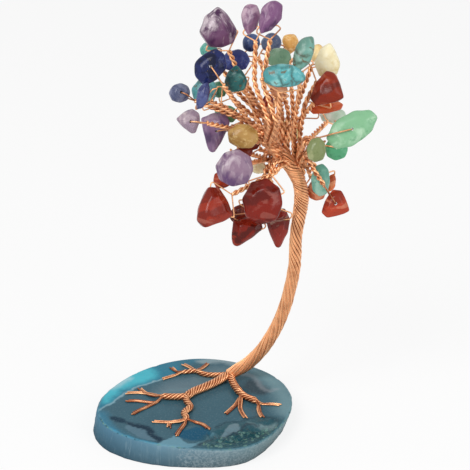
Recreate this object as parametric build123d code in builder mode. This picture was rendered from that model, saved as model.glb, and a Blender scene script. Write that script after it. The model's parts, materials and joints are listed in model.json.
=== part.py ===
from build123d import *
import os
from math import ceil, cos, radians, sin, sqrt
from typing import NamedTuple

# Gemstone tree: copper wires twisted into a trunk, spreading roots and leafy sprays, on a dyed agate
# slice, with a drilled gem chip threaded on every stem.  Millimetres, +Z up, +X to the right and +Y to
# the rear of the tree as it is shown.  The origin is the middle of the slice's underside.

os.makedirs("parts", exist_ok=True)

# Agate slice
SLAB_RADIUS = 30.0
SLAB_THICKNESS = 6.7
SLAB_BEVEL = 0.6
POCKET_DEPTH = 0.8
# Rim radius at even angles, from +X towards +Y
SLAB_OUTLINE_SHARES = (1.00, 1.04, 1.05, 1.05, 0.97, 0.93, 0.97, 0.985, 0.93, 0.945, 1.06, 1.00)
# Crystal pocket sunk into the top at the front right, as shares of the slab's radius
POCKET_OUTLINE_SHARES = ((0.14, -0.62), (0.42, -0.52), (0.72, -0.40), (0.84, -0.30), (0.82, -0.50),
                         (0.64, -0.72), (0.40, -0.84), (0.18, -0.80))

# Wire, and the chips that it carries
WIRE_DIAMETER = 0.4
CHIP_LENGTH = 10.0
HOLE_CLEARANCE = 0.2
LOOP_CLEARANCE = 0.25
LOOP_NECK = 1.3
ROCK_ANGLE = 12.0
# A hole drilled from the side lies this far from the chip's middle towards its end at the stem
HOLE_OFFSET_SHARE = 0.55
FACE_LEAN = 22.0
STEM_RADIUS = WIRE_DIAMETER
HOLE_RADIUS = WIRE_DIAMETER / sqrt(2) + HOLE_CLEARANCE

# Trunk: a bowed bundle that leans forward, with a burl at its foot and a knot where it divides
TRUNK_HEIGHT = 74.73
TRUNK_BOW = 20.0
TRUNK_LEAN = 11.6
TRUNK_FOOT_RADIUS = 2.4
TRUNK_NECK_RADIUS = 1.95
TRUNK_PITCH = 31.0
TRUNK_STRANDS = 8
BURL_RADIUS = 3.0
KNOT_RADIUS = 3.1
SEAT_GAP = 0.06
# The foot's place on the slab, as shares of the slab's radius
FOOT_SHARES = (0.397, 0.52)
# The trunk's line: shares of its bow to the right, its lean to the front and its height
TRUNK_LINE_SHARES = ((0, 0, 0), (0.18, 0.05, 0.035), (0.45, 0.14, 0.118), (0.73, 0.27, 0.272),
                     (0.85, 0.40, 0.395), (0.925, 0.526, 0.535), (0.94, 0.655, 0.672), (1, 0.74, 0.791),
                     (0.98, 0.83, 0.879), (0.85, 0.914, 0.955), (0.74, 1, 1))
# Burl and knot: the turns of their rings of corners above the middle, and the corners in a ring
BALL_RISES = (-66, -22, 22, 66)
BALL_SIDES = 9
# Twisted bundles: the depth of the grooves between strands, and the turn from one section to the next
GROOVE_SHARE = 0.16
FACET_TURN = 20.0

# Roots: three bundles that leave the round foot, divide again and end in cut wire tips
ROOT_RADIUS = {"root_left": 1.3, "root_rear": 0.85, "root_right": 1.2}
ROOT_HEADING = {"root_left": 214.0, "root_rear": 163.0, "root_right": 272.0}
ROOT_DIP = 15.0
ROOT_PITCH = 16.0
ROOT_STRANDS = 4
FORK_RADIUS = 0.75
TIP_RADIUS = 0.4
FORK_STRANDS = 3
TIP_STRANDS = 2
TIP_PITCH = 30.0
# Each branch's line as shares of the slab's radius; the stems go on from the trunk's foot
ROOT_STEM_SHARES = {
    "root_left": ((0.20, 0.372), (0.06, 0.237), (-0.033, 0.143), (-0.073, 0.087)),
    "root_rear": ((0.177, 0.583), (0.103, 0.60), (0.017, 0.67)),
    "root_right": ((0.425, 0.27), (0.467, 0.163), (0.527, 0.077), (0.627, -0.013)),
}
ROOT_FORK_SHARES = {
    "root_left": (
        ((-0.073, 0.087), (-0.193, 0.077), (-0.307, 0.087), (-0.383, 0.01)),
        ((-0.073, 0.087), (-0.07, -0.033), (-0.037, -0.153), (-0.093, -0.273), (-0.07, -0.39)),
    ),
    "root_rear": (((0.017, 0.67), (-0.06, 0.675), (-0.13, 0.657)),),
    "root_right": (((0.627, -0.013), (0.70, -0.03), (0.78, -0.033)),),
}
ROOT_TIP_SHARES = {
    "root_left": (
        ((-0.307, 0.087), (-0.517, 0.21), (-0.707, 0.21)),
        ((-0.517, 0.21), (-0.573, 0.333)),
        ((-0.383, 0.01), (-0.54, 0.03), (-0.697, 0.033)),
        ((-0.383, 0.01), (-0.50, -0.12), (-0.623, -0.263)),
        ((-0.07, -0.39), (-0.25, -0.42), (-0.407, -0.40)),
        ((-0.22, -0.412), (-0.233, -0.557)),
        ((-0.07, -0.39), (-0.117, -0.557), (-0.16, -0.71)),
        ((-0.07, -0.39), (0.04, -0.43), (0.17, -0.58)),
    ),
    "root_rear": (
        ((0.017, 0.67), (-0.047, 0.787), (-0.137, 0.883)),
        ((0.017, 0.67), (0.067, 0.787), (0.13, 0.907)),
        ((-0.13, 0.657), (-0.24, 0.60), (-0.343, 0.53)),
        ((-0.13, 0.657), (-0.193, 0.703), (-0.26, 0.81)),
    ),
    "root_right": (
        ((0.78, -0.033), (0.88, -0.057)),
        ((0.627, -0.013), (0.657, -0.187), (0.693, -0.327)),
        ((0.467, 0.163), (0.467, -0.12), (0.523, -0.337)),
        ((0.467, 0.163), (0.417, -0.057), (0.317, -0.25)),
    ),
}

# Canopy: the room round the crown in which the boughs and chips are placed, set by the chips' size
CANOPY_WIDTH_SHARE = 3.0
CANOPY_DEPTH_SHARE = 2.0
CANOPY_HEIGHT_SHARE = 5.0
BOUGH_BULK_SHARE = 1.15
BOUGH_TIP_SHARE = 0.62
BOUGH_PITCH = 30.0
BOUGH_STRANDS = 4
# Where each bough divides into stems: shares of the canopy to the right, to the rear and upwards
BOUGH_TIP_SHARES = {
    "left": (-0.33, -0.10, 0.20),
    "rear_left": (-0.21, 0.35, 0.20),
    "top": (-0.12, -0.65, 0.32),
    "rear_top": (0.04, 0.55, 0.17),
    "right_up": (0.12, -0.05, 0.23),
    "right": (0.22, -0.45, 0.17),
    "low_right": (0.15, 0.10, 0.04),
    "low_left": (-0.15, 0.25, -0.02),
    "low": (-0.12, -0.35, -0.01),
}

# Chip outlines in a unit square, seen from the front
OUTLINE_SHARES = {
    "teardrop": ((0.04, 0.5), (0.32, 0.26), (0.5, -0.1), (0.4, -0.38),
                 (0.08, -0.5), (-0.28, -0.46), (-0.5, -0.12), (-0.32, 0.28)),
    "pebble": ((0.12, 0.5), (0.42, 0.3), (0.5, -0.05), (0.34, -0.4),
               (-0.05, -0.5), (-0.4, -0.34), (-0.5, 0.06), (-0.26, 0.42)),
    "wedge": ((-0.42, 0.46), (0.05, 0.5), (0.46, 0.4), (0.5, 0.14),
              (0.1, -0.24), (-0.3, -0.5), (-0.46, -0.44), (-0.5, -0.05)),
    "block": ((-0.08, 0.5), (0.2, 0.46), (0.4, 0.12), (0.5, -0.24),
              (0.3, -0.36), (-0.3, -0.5), (-0.5, -0.3), (-0.36, 0.14)),
    "kite": ((-0.12, 0.48), (0.3, 0.5), (0.5, 0.22), (0.42, -0.1),
             (0.1, -0.5), (-0.08, -0.48), (-0.38, -0.04), (-0.5, 0.3)),
    "blade": ((-0.5, -0.12), (-0.42, 0.26), (-0.1, 0.44), (0.3, 0.5),
              (0.5, 0.2), (0.42, -0.2), (0.05, -0.45), (-0.35, -0.5)),
    "leaf": ((-0.5, -0.2), (-0.32, 0.2), (0, 0.45), (0.34, 0.5),
             (0.5, 0.3), (0.38, -0.05), (0.05, -0.4), (-0.3, -0.5)),
}
# Through a chip's thickness, front to back: the place of a section, and its size beside the outline
CHIP_PROFILE_SHARES = ((0.5, 0.55), (0.2, 1.0), (-0.22, 0.96), (-0.5, 0.5))


class Chip(NamedTuple):
    """A gem chip: place as shares of the canopy, size as shares of CHIP_LENGTH, turn in degrees."""
    name: str
    outline: str
    bough: str
    drill: str
    place_shares: tuple
    size_shares: tuple
    tilt: float
    yaw: float


# A chip drilled through its "face" has its loop edge on, and one drilled from the "side" shows its loop
CHIPS = (
    Chip("amethyst_crest_left", "teardrop", "rear_left", "side",
         (-0.64, 0.10, 0.77), (1.07, 1.19, 0.75), 0, 10),
    Chip("amethyst_crest_middle", "teardrop", "top", "side",
         (-0.33, -0.30, 0.86), (0.55, 0.90, 0.37), 180, -15),
    Chip("amethyst_crest_right", "teardrop", "top", "side",
         (-0.16, -0.60, 0.90), (0.62, 1.02, 0.38), 150, 10),
    Chip("amethyst_left_tip", "kite", "left", "face", (-0.90, -0.60, 0.30), (0.67, 0.67, 0.40), 15, 10),
    Chip("amethyst_left", "wedge", "left", "face", (-0.64, -0.09, 0.175), (0.84, 1.10, 0.36), 20, -10),
    Chip("amethyst_round", "pebble", "low_left", "side", (-0.48, -0.90, 0.07), (1.07, 1.05, 0.53), 0, 0),
    Chip("lapis_left", "blade", "left", "face", (-0.70, -0.50, 0.61), (1.00, 0.89, 0.40), 20, 0),
    Chip("lapis_middle", "pebble", "rear_left", "side", (-0.47, 0.40, 0.54), (0.84, 0.66, 0.38), 0, 10),
    Chip("lapis_left_tip", "pebble", "left", "face", (-1.00, -0.20, 0.42), (0.62, 0.57, 0.39), 0, 20),
    Chip("lapis_slim", "blade", "left", "side", (-0.77, -0.80, 0.48), (0.36, 0.77, 0.28), 0, -20),
    Chip("turquoise_left", "pebble", "left", "side", (-0.77, 0.05, 0.40), (0.77, 0.86, 0.33), 0, 0),
    Chip("turquoise_teal", "teardrop", "rear_left", "side", (-0.47, -0.07, 0.49), (0.70, 0.82, 0.32), 0, 0),
    Chip("turquoise_front", "leaf", "top", "side", (-0.03, -0.85, 0.60), (1.16, 0.92, 0.41), -35, 0),
    Chip("turquoise_tall", "blade", "right_up", "side", (0.16, -0.50, 0.69), (0.58, 1.12, 0.40), -12, 0),
    Chip("sodalite_middle", "pebble", "rear_top", "side", (-0.32, 0.65, 0.62), (0.55, 0.58, 0.40), 0, 0),
    Chip("sodalite_right", "pebble", "rear_top", "side", (-0.13, 0.30, 0.66), (0.62, 0.60, 0.40), 0, 0),
    Chip("citrine_amber", "teardrop", "rear_top", "side", (0.06, 0.65, 0.61), (0.49, 0.62, 0.36), 180, 0),
    Chip("citrine_rear", "pebble", "rear_top", "side", (0.32, 0.50, 0.57), (0.43, 0.58, 0.35), 0, 0),
    Chip("citrine_right", "teardrop", "right_up", "side", (0.40, 0.00, 0.59), (0.74, 1.02, 0.37), 0, -10),
    Chip("citrine_left", "pebble", "left", "side", (-0.40, -0.55, 0.21), (0.90, 0.72, 0.34), -10, 0),
    Chip("citrine_small", "pebble", "low_left", "side", (-0.24, 0.50, -0.13), (0.44, 0.38, 0.28), 0, 0),
    Chip("citrine_far", "pebble", "rear_top", "side", (0.07, 0.90, 0.05), (0.66, 0.66, 0.46), 0, 0),
    Chip("aventurine_crest", "pebble", "rear_left", "side", (-0.73, 0.45, 0.60), (0.52, 0.46, 0.34), 0, 0),
    Chip("aventurine_inner", "pebble", "rear_left", "side", (-0.63, 0.45, 0.36), (0.49, 0.49, 0.35), 0, 0),
    Chip("aventurine_left", "pebble", "left", "side", (-0.56, 0.15, 0.25), (0.69, 0.52, 0.30), -10, 0),
    Chip("aventurine_top", "pebble", "rear_top", "side", (-0.06, -0.05, 0.61), (0.70, 0.58, 0.30), 0, 0),
    Chip("aventurine_rear", "pebble", "right", "side", (0.48, 0.45, 0.20), (0.79, 0.47, 0.35), 0, 0),
    Chip("aventurine_wing", "leaf", "right", "face", (0.62, -0.55, 0.25), (1.48, 1.14, 0.34), 0, 0),
    Chip("aventurine_lobe", "pebble", "right", "face", (0.50, -0.05, 0.07), (0.69, 0.72, 0.35), 0, 0),
    Chip("aventurine_olive", "pebble", "right", "side", (0.28, -0.85, 0.17), (0.56, 0.71, 0.31), 0, 0),
    Chip("aventurine_low", "pebble", "low_right", "face", (0.35, -0.10, -0.12), (0.56, 0.98, 0.34), 0, 0),
    Chip("jasper_inner", "pebble", "top", "side", (-0.16, 0.15, 0.31), (0.37, 0.55, 0.32), 0, 0),
    Chip("jasper_peach", "pebble", "top", "side", (-0.06, -0.05, 0.42), (0.51, 0.40, 0.27), 0, 0),
    Chip("jasper_right_up", "block", "right_up", "side", (0.39, -0.40, 0.47), (0.94, 0.99, 0.46), 0, -10),
    Chip("jasper_right_flat", "blade", "right_up", "side", (0.39, 0.00, 0.31), (1.03, 0.40, 0.50), 0, 0),
    Chip("jasper_behind_citrine", "pebble", "low_left", "side",
         (-0.31, 0.00, 0.09), (0.46, 0.40, 0.26), 0, 0),
    Chip("jasper_behind_round", "blade", "low_left", "side", (-0.40, -0.35, 0.08), (0.57, 0.40, 0.29), 0, 0),
    Chip("jasper_left_back", "blade", "left", "side", (-0.58, -0.05, -0.12), (0.64, 0.58, 0.30), 0, 0),
    Chip("jasper_left", "block", "low", "side", (-0.685, -0.60, -0.21), (1.06, 1.14, 0.63), 0, 15),
    Chip("jasper_small", "leaf", "low", "side", (-0.40, -0.05, -0.33), (0.82, 0.64, 0.31), -10, 0),
    Chip("jasper_centre", "pebble", "low", "side", (-0.215, -0.65, -0.17), (1.15, 1.33, 0.52), 0, 0),
    Chip("jasper_bottom", "wedge", "low", "side", (-0.36, -0.40, -0.40), (0.90, 0.81, 0.43), 0, 0),
    Chip("jasper_point", "kite", "low", "side", (-0.06, -0.10, -0.42), (0.72, 1.15, 0.42), 0, 0),
    Chip("jasper_low_back", "pebble", "low_right", "side", (0.33, 0.30, -0.24), (0.59, 0.65, 0.37), 0, 0),
    Chip("jasper_slim", "blade", "low_right", "side", (0.47, 0.20, -0.18), (0.26, 0.53, 0.28), 0, 0),
    Chip("jasper_low_right", "block", "low_right", "face", (0.48, -0.60, -0.19), (0.80, 0.82, 0.40), 0, 0),
)

# Places that follow from the sizes above
REAR = Vector(0, 1, 0)
UP = Vector(0, 0, 1)
FOOT = Vector(FOOT_SHARES[0] * SLAB_RADIUS, FOOT_SHARES[1] * SLAB_RADIUS,
              SLAB_THICKNESS + SEAT_GAP + sin(radians(BALL_RISES[-1])) * BURL_RADIUS)
TRUNK_LINE = [FOOT + Vector(bow * TRUNK_BOW, -lean * TRUNK_LEAN, rise * TRUNK_HEIGHT)
              for bow, lean, rise in TRUNK_LINE_SHARES]
CROWN = TRUNK_LINE[-1]
CANOPY = Vector(CANOPY_WIDTH_SHARE, CANOPY_DEPTH_SHARE, CANOPY_HEIGHT_SHARE) * CHIP_LENGTH


def in_canopy(shares):
    """A point given as shares of the canopy to the right, to the rear and upwards from the crown."""
    return CROWN + Vector(shares[0] * CANOPY.X, shares[1] * CANOPY.Y, shares[2] * CANOPY.Z)


def section_plane(route, share, side):
    """The plane square to a route at a share of its length, with its X axis turned to one side."""
    along = route % share
    return Plane(origin=route @ share, x_dir=side - along * side.dot(along), z_dir=along)


def fluted_section(radius, strands, turn):
    """The corners of a bundle's section: a ridge for each strand and a groove beside it."""
    corners = []
    for i in range(2 * strands):
        reach = radius if i % 2 == 0 else radius * (1 - GROOVE_SHARE)
        angle = radians(turn + i * 180 / strands)
        corners.append((reach * cos(angle), reach * sin(angle)))
    return corners


def twisted_bundle(route, side, radius_at, strands, pitch):
    """Wires twisted left-handed along a route: fluted sections that turn, joined by flat facets."""
    twist = 360 * route.length / pitch
    count = ceil(twist / FACET_TURN)
    rings = []
    for i in range(count + 1):
        plane = section_plane(route, i / count, side)
        corners = fluted_section(radius_at(i / count), strands, -twist * i / count)
        rings.append([plane.from_local_coords(corner) for corner in corners])
    outlines = [rings[0], rings[-1]]
    for low, high in zip(rings, rings[1:]):
        for j in range(len(low)):
            outlines.append((low[j - 1], low[j], high[j - 1]))
            outlines.append((low[j], high[j], high[j - 1]))
    return Solid(Shell([Face(Wire.make_polygon(outline)) for outline in outlines]))


def tapered(start, end):
    """A radius that goes evenly from one value to another along a route."""
    return lambda share: start + (end - start) * share


def chip_frame(chip):
    """The plane of a chip's outline: X across, Y up, Z towards the viewer's side."""
    yaw = radians(chip.yaw)
    lean = radians(FACE_LEAN)
    facing = Vector(sin(yaw) * cos(lean), -cos(yaw) * cos(lean), sin(lean))
    return Plane(origin=in_canopy(chip.place_shares), x_dir=Vector(cos(yaw), sin(yaw), 0), z_dir=facing)


def chip_outline(chip):
    """The corners of a chip's outline in its own plane, scaled to its size and tilted."""
    width, height, _ = (share * CHIP_LENGTH for share in chip.size_shares)
    c = cos(radians(chip.tilt))
    s = sin(radians(chip.tilt))
    return [(x * width * c - z * height * s, x * width * s + z * height * c)
            for x, z in OUTLINE_SHARES[chip.outline]]


def loop_plane(chip):
    """The plane of a chip's wire loop: X along the drill hole, Y away from the bough."""
    frame = chip_frame(chip)
    out = (frame.origin - in_canopy(BOUGH_TIP_SHARES[chip.bough])).normalized()
    hole = frame.z_dir
    if chip.drill == "side":
        hole = frame.z_dir.cross(out)
        if hole.length < sin(radians(FACE_LEAN)):
            hole = frame.x_dir - out * frame.x_dir.dot(out)
        hole = hole.normalized()
    away = (out - hole * out.dot(hole)).normalized()
    origin = frame.origin
    if chip.drill == "side":
        near_end = min((corner - origin).dot(away) for corner in chip_corners(chip))
        origin = origin + away * (HOLE_OFFSET_SHARE * near_end)
    return Plane(origin=origin, x_dir=hole, z_dir=hole.cross(away))


def chip_corners(chip):
    """The corners of a chip: its outline, drawn in towards the front and the back face."""
    frame = chip_frame(chip)
    thickness = chip.size_shares[2] * CHIP_LENGTH
    return [frame.from_local_coords(Vector(x * scale, y * scale, depth * thickness))
            for depth, scale in CHIP_PROFILE_SHARES for x, y in chip_outline(chip)]


def loop_corners(chip, plane):
    """The corners of the room inside a chip's loop: parallel sides that close to a point by the stem.

    The room takes in the chip's shadow at rest and rocked both ways, cut off above the wire in the hole.
    """
    lid = LOOP_CLEARANCE + WIRE_DIAMETER / 2
    ceiling = -lid
    swung = []
    for corner in chip_corners(chip):
        seen = plane.to_local_coords(corner)
        for angle in (-ROCK_ANGLE, 0, ROCK_ANGLE):
            swung.append((seen.X, seen.Y * cos(radians(angle)) - seen.Z * sin(radians(angle))))
    low = [(x, y) for x, y in swung if y <= lid]
    high = [(x, y) for x, y in swung if y > lid]
    cut = [(a + (c - a) * (lid - b) / (d - b), lid) for a, b in low for c, d in high]
    shadow = [(x, min(y, ceiling)) for x, y in low + cut]
    apex = min(y for x, y in shadow) - LOOP_NECK
    corners = [(0, apex)]
    for side in (1, -1):
        reach = max(side * x for x, y in shadow)
        shoulder = min(apex + reach * (y - apex) / (side * x) for x, y in shadow if side * x > 0)
        leg = [(side * reach, min(shoulder, ceiling - LOOP_CLEARANCE)), (side * reach, ceiling)]
        corners = corners + leg if side > 0 else leg[::-1] + corners
    return corners, apex


def export(part, name):
    """Label a finished piece and write it to its own file."""
    part.label = name
    export_step(part, f"parts/{name}.step")


def ball_corners(centre, radius):
    """The corners of a faceted ball: rings of corners from near its bottom to near its top."""
    return [centre + Vector(cos(rise) * cos(around), cos(rise) * sin(around), sin(rise)) * radius
            for rise in map(radians, BALL_RISES)
            for around in (radians(i * 360 / BALL_SIDES) for i in range(BALL_SIDES))]


def slab_outline(inset):
    """The corners that the slab's rim runs through, drawn in evenly towards its middle."""
    reaches = [share * SLAB_RADIUS - inset for share in SLAB_OUTLINE_SHARES]
    turns = [radians(i * 360 / len(reaches)) for i in range(len(reaches))]
    return [(reach * cos(turn), reach * sin(turn)) for reach, turn in zip(reaches, turns)]


# Agate slice: a sawn, polished slab with its natural rim, a ground bevel and a crystal pocket
with BuildPart() as agate_slice:
    for inset, height in ((0, 0), (0, SLAB_THICKNESS - SLAB_BEVEL), (SLAB_BEVEL, SLAB_THICKNESS)):
        with BuildSketch(Plane.XY.offset(height)):
            with BuildLine():
                Spline(*slab_outline(inset), periodic=True)
            make_face()
    loft(ruled=True)
    with BuildSketch(Plane.XY.offset(SLAB_THICKNESS)):
        Polygon(*[(x * SLAB_RADIUS, y * SLAB_RADIUS) for x, y in POCKET_OUTLINE_SHARES], align=None)
    extrude(amount=-POCKET_DEPTH, mode=Mode.SUBTRACT)
export(agate_slice.part, "agate_slice")

# Trunk: a tapering bundle between the burl at its foot and the knot at the crown
trunk_route = Spline(*TRUNK_LINE)
shaft = twisted_bundle(trunk_route, REAR, tapered(TRUNK_FOOT_RADIUS, TRUNK_NECK_RADIUS),
                       TRUNK_STRANDS, TRUNK_PITCH)
with BuildPart() as trunk:
    add(shaft)
    ConvexPolyhedron(ball_corners(FOOT, BURL_RADIUS))
    ConvexPolyhedron(ball_corners(CROWN, KNOT_RADIUS))
export(trunk.part, "trunk")


def lying_points(line_shares, start, end):
    """Points on the slab for the middle of a branch whose radius goes evenly from start to end."""
    flat = [Vector(x * SLAB_RADIUS, y * SLAB_RADIUS) for x, y in line_shares]
    runs = [0] + [(b - a).length for a, b in zip(flat, flat[1:])]
    radius_at = tapered(start, end)
    return [point + UP * (SLAB_THICKNESS + SEAT_GAP + radius_at(sum(runs[:i + 1]) / sum(runs)))
            for i, point in enumerate(flat)]


# Roots: each starts square to the round foot and comes down onto the slab
for name, radius in ROOT_RADIUS.items():
    around = radians(ROOT_HEADING[name])
    dip = radians(ROOT_DIP)
    leaving = Vector(cos(around) * cos(dip), sin(around) * cos(dip), -sin(dip))
    stem_points = lying_points(ROOT_STEM_SHARES[name], radius, FORK_RADIUS)
    heading = (stem_points[-1] - stem_points[-2]).normalized()
    start = FOOT + leaving * (BURL_RADIUS + SEAT_GAP)
    stem_route = Spline(start, *stem_points, tangents=(leaving, heading))
    branches = [twisted_bundle(stem_route, UP, tapered(radius, FORK_RADIUS), ROOT_STRANDS, ROOT_PITCH)]
    for line_shares in ROOT_FORK_SHARES[name]:
        route = Spline(*lying_points(line_shares, FORK_RADIUS, TIP_RADIUS))
        radius_at = tapered(FORK_RADIUS, TIP_RADIUS)
        branches.append(twisted_bundle(route, UP, radius_at, FORK_STRANDS, TIP_PITCH))
    for line_shares in ROOT_TIP_SHARES[name]:
        points = lying_points(line_shares, TIP_RADIUS, TIP_RADIUS)
        route = Spline(*points) if len(points) > 2 else Line(*points)
        branches.append(twisted_bundle(route, UP, tapered(TIP_RADIUS, TIP_RADIUS), TIP_STRANDS, TIP_PITCH))
    with BuildPart() as root:
        add(branches)
    export(root.part, name)

# Sprays: a bough that butts on the knot, with a stem for each chip that ends in a loop through its hole
for bough, tip_shares in BOUGH_TIP_SHARES.items():
    carried = [chip for chip in CHIPS if chip.bough == bough]
    tip = in_canopy(tip_shares)
    heading = (tip - CROWN).normalized()
    bulk = BOUGH_BULK_SHARE * STEM_RADIUS * sqrt(len(carried))
    bough_route = Line(CROWN + heading * (KNOT_RADIUS + SEAT_GAP), tip)
    radius_at = tapered(bulk, BOUGH_TIP_SHARE * bulk)
    limb = twisted_bundle(bough_route, UP, radius_at, BOUGH_STRANDS, BOUGH_PITCH)
    with BuildPart() as spray:
        add(limb)
        for chip in carried:
            plane = loop_plane(chip)
            corners, apex = loop_corners(chip, plane)
            with BuildSketch(plane) as loop:
                Polygon(*corners, align=None)
                offset(amount=LOOP_CLEARANCE, kind=Kind.INTERSECTION)
                room = loop.sketch_local
                offset(amount=WIRE_DIAMETER, kind=Kind.INTERSECTION)
                add(room, mode=Mode.SUBTRACT)
            extrude(amount=WIRE_DIAMETER / 2, both=True)
            start = tip - heading * STEM_RADIUS
            end = plane.from_local_coords((0, apex - LOOP_CLEARANCE - WIRE_DIAMETER))
            with BuildSketch(Plane(origin=start, z_dir=end - start)):
                RegularPolygon(radius=STEM_RADIUS, side_count=6)
            extrude(amount=(end - start).length)
    export(spray.part, f"spray_{bough}")

# Gem chips: a faceted, tumbled chip with its drill hole on the loop's wire
for chip in CHIPS:
    plane = loop_plane(chip)
    with BuildPart() as gem:
        ConvexPolyhedron(chip_corners(chip))
        with BuildSketch(Plane(origin=plane.origin, z_dir=plane.x_dir)):
            RegularPolygon(radius=HOLE_RADIUS, side_count=6)
        extrude(amount=CHIP_LENGTH, both=True, mode=Mode.SUBTRACT)
    export(gem.part, chip.name)
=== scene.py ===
"""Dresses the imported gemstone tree: twisted copper wire, gem chips on their loops and a dyed agate slice."""

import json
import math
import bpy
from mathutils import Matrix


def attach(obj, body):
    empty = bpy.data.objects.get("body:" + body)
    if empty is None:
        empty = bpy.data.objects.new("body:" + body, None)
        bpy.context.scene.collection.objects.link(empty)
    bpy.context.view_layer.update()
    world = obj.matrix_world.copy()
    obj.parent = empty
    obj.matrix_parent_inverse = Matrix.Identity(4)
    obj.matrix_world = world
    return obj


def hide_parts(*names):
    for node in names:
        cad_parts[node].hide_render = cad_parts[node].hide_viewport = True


bl_info = {
    "name": "Gemstone tree",
    "version": (1, 0, 0),
    "blender": (4, 5, 0),
    "location": "View3D > Sidebar > Gem tree",
    "description": "Builds the wire, chips and agate slice of a gemstone tree round its packed solids",
    "category": "Add Mesh",
}

import bpy
import numpy as np
from bpy.props import FloatProperty, FloatVectorProperty, IntProperty, PointerProperty

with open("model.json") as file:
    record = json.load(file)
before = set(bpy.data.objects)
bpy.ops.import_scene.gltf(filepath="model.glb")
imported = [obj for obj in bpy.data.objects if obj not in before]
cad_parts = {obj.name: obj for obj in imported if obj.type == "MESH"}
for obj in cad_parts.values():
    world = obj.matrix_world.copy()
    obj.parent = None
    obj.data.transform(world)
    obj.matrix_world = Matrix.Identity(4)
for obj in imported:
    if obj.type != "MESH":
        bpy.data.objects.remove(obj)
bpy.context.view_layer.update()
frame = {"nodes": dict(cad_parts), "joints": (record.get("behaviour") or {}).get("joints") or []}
HINGES = {joint["child"]: joint for joint in frame["joints"]}

# Working lengths are millimetres, and meshes are written in metres
MM = 0.001

# Slice
SLAB_RADIUS = 30.0
SLAB_TOP = 6.7
SLAB_BEVEL = 0.6
RIM_SHARES = (1.00, 1.04, 1.05, 1.05, 0.97, 0.93, 0.97, 0.985, 0.93, 0.945, 1.06, 1.00)
# How far the wall's foot leans out, as a share of the reach, and the bearing in degrees where it does
WALL_SLANTS = ((0.05, 205), (-0.10, 325))
WALL_FOOT = 0.1
WALL_ROUGHNESS = 0.12
# Nicks in the rim: how deep they are, and how far below the top they end
NICK_DEPTH = 0.5
NICK_REACH = 2.2
POCKET_DEPTH = 0.78
# Crystals in the pocket: their number, the corners of the field that they are strewn over, and their slope
CRYSTAL_COUNT = 420
CRYSTAL_FIELD = ((3, -28), (27, -6))
CRYSTAL_SLOPE = 0.8
# Rows of the slice's surface from the middle of its underside to the middle of its top, and its columns
UNDER_ROWS = 5
WALL_ROWS = 14
BEVEL_ROWS = 5
TOP_ROWS = 139
RIM_COLS = 440

# Trunk, burl and crown
SEAT_GAP = 0.06
BURL_RADIUS = 3.0
BURL_RISE = 66.0
TRUNK_SIZE = np.array((20.0, -11.6, 74.73))
# The trunk's radius at shares of its length
TRUNK_BULK = ((0, 1.7), (0.05, 2.0), (0.32, 1.9), (0.64, 1.85), (0.755, 2.2), (0.84, 1.95), (0.935, 2.0),
              (1, 0.9))
# Turns against an even lay at the foot, and each change of it with the shares of the length that it takes
TRUNK_LAY = 0.75
TRUNK_LAY_CHANGES = ((0.8, 0.38, 0.62), (1.9, 0.66, 0.765), (-2.9, 0.86, 0.935))
TRUNK_ROWS = 340
# The strands start this far below the trunk's foot
TRUNK_SINK = 1.6
# They end at the second of these shares of the left bough, and wander in and out by this much
LIMB_SHARES = (0.2, 0.45)
STRAND_WANDER = 0.1
# Every third strand lies deeper, by this much at most, and is painted duller as shade
STRAND_DEPTH = 0.14
FOOT = np.array((0.397 * SLAB_RADIUS, 0.52 * SLAB_RADIUS,
                 SLAB_TOP + SEAT_GAP + BURL_RADIUS * math.sin(math.radians(BURL_RISE))))
TRUNK_SHARES = np.array(((0, 0, 0), (0.18, 0.05, 0.035), (0.45, 0.14, 0.118), (0.73, 0.27, 0.272),
                         (0.85, 0.40, 0.395), (0.925, 0.526, 0.535), (0.94, 0.655, 0.672), (1, 0.74, 0.791),
                         (0.98, 0.83, 0.879), (0.85, 0.914, 0.955), (0.74, 1, 1)))
TRUNK_LINE = FOOT + TRUNK_SHARES * TRUNK_SIZE
CROWN = TRUNK_LINE[-1]

# Roots: the radius and the points of each stem, as shares of the slab's radius
ROOT_RADIUS = {"root_left": 1.3, "root_rear": 0.85, "root_right": 1.2}
ARM_RADIUS = 1.02
TIP_WIRES = 3
ROOT_ROWS = 220
# Height of a root's start in the trunk, the turns of a rope against its thickness, and its drawn-in ends
ROOT_START = 3.5
ROPE_LAY = 0.95
ROPE_ENDS = 1.4
LEAST_BULK = 0.1
# An arm's thickness against its stem's, where that is less than its own
ARM_SHARE = 0.85
# The tip's wires part between these lengths from their fork
TIP_PARTING = (2, 5.5)
# Rows by which the ropes and the tips overlap at a split or a fork
ROPE_OVERLAP = 6
TIP_OVERLAP = 8
# Tint of the dark core between the strands, a tube that paints shade into the gaps between them
SHADE_CORE_TINT = 2.0
ROOT_STEMS = {
    "root_left": ((0.20, 0.372), (0.06, 0.237), (-0.033, 0.143), (-0.073, 0.087)),
    "root_rear": ((0.177, 0.583), (0.103, 0.60), (0.017, 0.67)),
    "root_right": ((0.425, 0.27), (0.467, 0.163)),
}
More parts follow.
